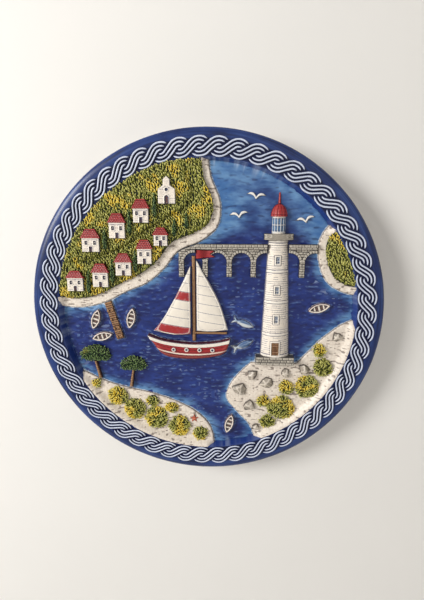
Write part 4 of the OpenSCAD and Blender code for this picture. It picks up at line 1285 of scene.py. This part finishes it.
def dome_cap(solid, x, up, inset):
    """A ribbed cap and its finial, turned about the tower's middle line."""
    half = solid.half_width(up)
    side, rise = x - solid.mid[0], up - solid.low[1]
    out = solid.foot + np.sqrt(np.maximum(half ** 2 - side ** 2, 0))
    turn = np.arcsin(np.clip(side / np.maximum(half, 0.3), -1, 1))
    cap = up < solid.low[1] + CAP_H
    out -= np.where(cap, 0.22 * groove(np.abs((turn / RIB) % 1 - 0.5), 0.12), 0)
    out -= np.where(cap, 0.18 * groove(rise - 0.9, 0.2), 0)
    return out, {}


def lighthouse():
    for row in (
        ("plinth_blocks", "lighthouse_plinth", 0.3, stone_blocks, STONE, "stone_paint"),
        ("tower_brickwork", "lighthouse_tower", 0.26, tower_wall, WALL, "cream_paint"),
        ("tower_door_planks", "tower_door", 0.2, plank_door, WOOD, "wood_paint"),
        ("tower_window_panes", "tower_windows", 0.16, window_pane, GLASS, "pale_blue_paint"),
        ("gallery_rail", "lighthouse_gallery", 0.22, gallery_ledge, STONE, "stone_paint"),
        ("lantern_glazing", "lantern_room", 0.2, lantern, GLASS, "pale_blue_paint"),
        ("lantern_cap", "lantern_dome", 0.2, dome_cap, ROOF, "red_paint"),
    ):
        figure(*row)


# Boat and small figures

SHEER = np.array([[-40, -16], [-28, -20], [-10, -22], [6, -21], [17, -18.5]]) * UNIT
SHEER_CURVE = np.polyfit(SHEER[:, 0], SHEER[:, 1], 3)
STRAKE = 1.75
CLOTH_W = 5.2
WATERLINE = 6.3  # middle of the stripe, below the sheer, and half the stripe's width
STRIPE_HALF = 0.3
MAST_X = -8 * UNIT
MAST_HALF = 1.1
BOOM_HALF = 0.88
LASHING = 7.0
DECK_PLANK = 1.25
BARK_RING = 1.1
JETTY_RUN = np.array([8, -27]) / math.hypot(8, 27)


def planked_hull(solid, x, up, inset):
    """Planks that follow the sheer, with a painted stripe over the bottom."""
    drop = np.polyval(SHEER_CURVE, x) - up
    seam = groove(joint_gap(drop, STRAKE), 0.14) * (drop > 1.9)
    turn = 2.4 * step(drop, 1.5, 5.0) + 0.3
    out = solid.front - rounded(inset, turn) * (drop > 0.6) - 0.24 * seam
    out += 0.1 * rough(x * 0.4, up, 1.6, 111) - 0.06
    return np.minimum(out, solid.front), {
        "stripe": groove(np.maximum(np.abs(drop - WATERLINE) - STRIPE_HALF, 0), 0.14),
        "bottom": step(drop, WATERLINE + STRIPE_HALF, WATERLINE + STRIPE_HALF + 0.2)}


def sailcloth(solid, x, up, inset):
    """A filled sail with seams across it and a roped edge."""
    fill = 1 - np.exp(-inset / 2.6)
    out = solid.foot + 2.35 + 1.25 * fill - 0.2 * groove(joint_gap(up + 0.16 * x, CLOTH_W), 0.2)
    out += 0.35 * rough(x, up * 0.5, 6, 113) * fill + 0.28 * groove(inset - 0.45, 0.34) - rounded(inset, 0.2)
    return np.minimum(out, solid.front), {}


def striped_sail(solid, x, up, inset):
    """A sail with one cloth in four dyed."""
    out, _ = sailcloth(solid, x, up, inset)
    band = ((up + 0.16 * x) / CLOTH_W) % 4
    return out, {"stripe": step(-np.abs(band - 1.5), -0.5, -0.46)}


def half_round(solid, x, up, inset):
    """Round spars, with lashings on the mast."""
    on_mast = np.abs(x - MAST_X) < MAST_HALF + 0.02
    half = np.where(on_mast, MAST_HALF, BOOM_HALF)
    out = solid.foot + np.sqrt(np.maximum(half ** 2 - (half - np.minimum(inset, half)) ** 2, 0))
    lash = groove(np.abs((up / LASHING) % 1 - 0.5) * LASHING, 0.35) * on_mast
    return np.minimum(out + 0.12 * lash + 0.06 * rough(x * 2, up * 0.5, 0.9, 115), solid.front), {}


def waving(solid, x, up, inset):
    """Cloth in the wind."""
    return solid.foot + 0.75 + 0.42 * np.sin((x - solid.low[0]) * 0.85) - rounded(inset, 0.2), {}


def trimmed(edge, texture):
    """A thin trim with rounded edges."""
    def shape(solid, x, up, inset):
        return solid.front - rounded(inset, edge) + texture * rough(x, up, 0.9, 117), {}
    return shape


def porthole(solid, x, up, inset):
    """A ring around a sunk pane."""
    gap = np.hypot(*(np.stack([x, up]) - solid.mid[:, None]))
    glass = step(-gap, -0.8, -0.6)
    return solid.front - 0.32 * glass - rounded(inset, 0.25), {"pane": glass}


def deck_planks(solid, x, up, inset):
    """Planks laid across the jetty, no two at one height."""
    along = x * JETTY_RUN[0] + up * JETTY_RUN[1]
    plank = np.floor(along / DECK_PLANK)
    height = 0.18 * (lattice(plank, plank * 0, 119) - 0.5)
    joint = groove(joint_gap(along, DECK_PLANK), 0.14)
    out = solid.front - 0.12 - 0.32 * joint + height - rounded(inset, 0.2)
    return out + 0.1 * rough(x, up, 1.0, 121), {}


def rowing_hull(solid, x, up, inset):
    """An open boat with three thwarts across it."""
    ring = np.concatenate(solid.loops)
    far = ring[np.argmax(np.hypot(*(ring - solid.mid).T))] - solid.mid
    run = far / np.hypot(*far)
    along = np.abs((x - solid.mid[0]) * run[0] + (up - solid.mid[1]) * run[1])
    inside = step(inset, 0.62, 0.86)
    thwart = np.maximum(groove(np.maximum(along - 0.45, 0), 0.12),
                        groove(np.maximum(np.abs(along - 2.6) - 0.35, 0), 0.12))
    out = solid.front - rounded(inset, 0.25) - inside * (0.95 - 0.5 * thwart)
    return out, {"inside": inside * (1 - 0.5 * thwart), "stripe": groove(inset - 0.12, 0.16) * 0.9}


def feathered(solid, x, up, inset):
    """Spread wings, thickest at the body."""
    gap = np.abs(x - solid.mid[0])
    out = solid.foot + 0.45 + 0.75 * np.sqrt(np.clip(inset / 0.9, 0, 1)) * (0.7 + 0.5 * groove(gap, 1.4))
    return np.minimum(out, solid.front), {"tips": step(gap, 3.6, 4.6)}


def scaled(solid, x, up, inset):
    """A rounded body, dark on the back and pale below."""
    out = solid.foot + 0.35 + 1.0 * np.sqrt(np.clip(inset / 1.9, 0, 1))
    back = (up - solid.mid[1]) + 0.3 * (x - solid.mid[0])
    return np.minimum(out, solid.front), {"belly": step(-back, 0.35, 1.0)}


def star_arms(solid, x, up, inset):
    """Arms with small knobs on them."""
    knobs = groove(cells(x, up, 0.55, 123), 0.18)
    out = solid.foot + 0.2 + 0.4 * np.clip(inset / 0.75, 0, 1) + 0.1 * knobs
    return np.minimum(out, solid.front + 0.1), {}


def barked(solid, x, up, inset):
    """A round trunk with rings of bark."""
    rings = groove(joint_gap(up, BARK_RING), 0.18)
    out = solid.front - 1.0 + np.sqrt(np.clip(inset / 0.95, 0, 1)) - 0.25 * rings
    return out + 0.15 * rough(x * 2, up, 0.9, 125), {}


def figures():
    for name, node, cell, evened, shape, finish, slot in (
        ("hull_planks", "boat_hull", 0.3, 20, planked_hull, HULL, "red_paint"),
        ("hull_rail", "boat_rail", 0.25, 1, trimmed(0.25, 0.08), SAIL, "cream_paint"),
        ("hull_portholes", "boat_portholes", 0.14, 1, porthole, WALL, "cream_paint"),
        ("mast_and_boom", "boat_spars", 0.22, 1, half_round, WOOD, "wood_paint"),
        ("main_sailcloth", "main_sail", 0.3, 60, sailcloth, SAIL, "cream_paint"),
        ("jib_sailcloth", "jib_sail", 0.3, 60, striped_sail, SAIL, "cream_paint"),
        ("pennant_cloth", "pennant", 0.25, 1, waving, ROOF, "red_paint"),
        ("jetty_planks", "jetty_deck", 0.25, 1, deck_planks, WOOD, "wood_paint"),
        ("jetty_bollards", "jetty_posts", 0.2, 1, trimmed(0.3, 0.1), WOOD, "wood_paint"),
        ("rowing_hulls", "rowing_boats", 0.24, 1, rowing_hull, BOAT, "cream_paint"),
        ("gull_wings", "gulls", 0.2, 1, feathered, GULL, "cream_paint"),
        ("fish_bodies", "leaping_fish", 0.22, 1, scaled, FISH, "pale_blue_paint"),
        ("starfish_arms", "starfish", 0.18, 1, star_arms, STAR, "red_paint"),
        ("pine_bark", "pine_trunks", 0.22, 1, barked, WOOD, "wood_paint"),
    ):
        figure(name, node, cell, shape, finish, slot, evened=evened)


# Hanger

def hanger():
    steel = metal("zinc_steel", (196, 194, 188), (120, 116, 112), 0.28)
    brass = metal("brass_wire", (204, 176, 112), (126, 98, 58), 0.22)
    for node, finish in (("hanger_strap", steel), ("hanger_screw", steel), ("hanger_ring", brass)):
        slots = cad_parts[node].material_slots
        for slot in slots:
            slot.material = finish
        if not slots:
            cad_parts[node].data.materials.append(finish)


plate_casting()
braid()
sea()
land()
village()
lighthouse()
figures()
hanger()


# Stage, light and camera

STAGE_PAINT = linear(234, 232, 228)
WALL_Y = 0.0006
FLOOR_Z = -0.6
STAGE_REACH = 3.0


def seen_directly(tree):
    """1 for a ray from the camera, in a reflection or through glass."""
    path = tree.nodes.new("ShaderNodeLightPath").outputs
    mirrored = maths(tree, "MAXIMUM", path["Is Glossy Ray"], path["Is Transmission Ray"])
    return maths(tree, "MAXIMUM", path["Is Camera Ray"], mirrored)


def backdrop(name, corners, glow=0.0):
    """A plain pale sheet, see-through from behind; glow evens out how a far one looks."""
    mesh = bpy.data.meshes.new(name)
    mesh.from_pydata(corners, [], [(0, 1, 2, 3)])
    sheet = bpy.data.objects.new(name, mesh)
    bpy.context.scene.collection.objects.link(sheet)
    material, tree, shader = new_finish(name)
    darker = tuple(0.97 * c for c in STAGE_PAINT[:3]) + (1,)
    feed(tree, shader, {
        "Base Color": blended(tree, grain(tree, 8, 2.0), STAGE_PAINT, darker),
        "Roughness": 0.9, "Specular IOR Level": 0.1})
    surface = shader.outputs[0]
    if glow:
        even = add(tree, "ShaderNodeEmission", {"Color": STAGE_PAINT, "Strength": 1.0}).outputs[0]
        share = times(tree, seen_directly(tree), glow)
        surface = add(tree, "ShaderNodeMixShader", {0: share, 1: surface, 2: even}).outputs[0]
    clear = tree.nodes.new("ShaderNodeBsdfTransparent").outputs[0]
    behind = tree.nodes.new("ShaderNodeNewGeometry").outputs["Backfacing"]
    mixed = add(tree, "ShaderNodeMixShader", {0: behind, 1: surface, 2: clear})
    feed(tree, tree.nodes["Material Output"], {"Surface": mixed.outputs[0]})
    mesh.materials.append(material)
    sheet.visible_shadow = False


def lamp(name, place, size, power, color=(1, 1, 1)):
    """A round soft light that points at the plate."""
    light = bpy.data.lights.new(name, "AREA")
    light.shape = "DISK"
    light.size = size
    light.energy = power
    light.color = color
    made = bpy.data.objects.new(name, light)
    made.location = place
    made.rotation_euler = (-Vector(place)).to_track_quat("-Z", "Y").to_euler()
    bpy.context.scene.collection.objects.link(made)


def studio():
    """A wall behind the plate, a floor below it, three lights and an even sky."""
    left, right = -STAGE_REACH, STAGE_REACH
    backdrop("studio_wall", [(left, WALL_Y, FLOOR_Z), (right, WALL_Y, FLOOR_Z),
                             (right, WALL_Y, STAGE_REACH), (left, WALL_Y, STAGE_REACH)])
    backdrop("studio_floor", [(left, -STAGE_REACH, FLOOR_Z), (right, -STAGE_REACH, FLOOR_Z),
                              (right, WALL_Y, FLOOR_Z), (left, WALL_Y, FLOOR_Z)], 0.75)
    lamp("window_light", (-0.64, -0.52, 0.26), 0.34, 6.6, (1.0, 0.99, 0.97))
    lamp("room_light", (0.5, -1.4, 0.5), 1.2, 1.4)
    lamp("back_light", (-0.7, 1.2, 0.8), 0.6, 15.0)
    world = bpy.data.worlds.new("studio")
    bpy.context.scene.world = world
    world.use_nodes = True
    tree = world.node_tree
    soft = feed(tree, tree.nodes["Background"], {"Color": (1.0, 0.965, 0.93, 1), "Strength": 0.43})
    pale = add(tree, "ShaderNodeBackground", {"Color": (0.84, 0.84, 0.82, 1), "Strength": 1.0})
    mixed = add(tree, "ShaderNodeMixShader", {
        0: seen_directly(tree), 1: soft.outputs[0], 2: pale.outputs[0]})
    feed(tree, tree.nodes["World Output"], {"Surface": mixed.outputs[0]})


FRAME_PIXELS = 600  # the picture's longer side
PIXELS_PER_METRE = 1760.0  # at the point that the camera aims at


def photo_camera():
    azimuth, elevation, away = math.radians(3.06), math.radians(13.6), 0.24
    aim = Vector((0.0038, -0.016, 0.0076))
    level = math.cos(elevation)
    towards = Vector((math.sin(azimuth) * level, -math.cos(azimuth) * level, math.sin(elevation)))
    data = bpy.data.cameras.new("photo_camera")
    data.sensor_width = 36.0
    data.lens = PIXELS_PER_METRE * away / FRAME_PIXELS * data.sensor_width
    made = bpy.data.objects.new("photo_camera", data)
    made.location = aim + towards * away
    made.rotation_euler = (-towards).to_track_quat("-Z", "Y").to_euler()
    bpy.context.scene.collection.objects.link(made)
    bpy.context.scene.camera = made


studio()
photo_camera()
bpy.context.scene.view_settings.view_transform = "Standard"
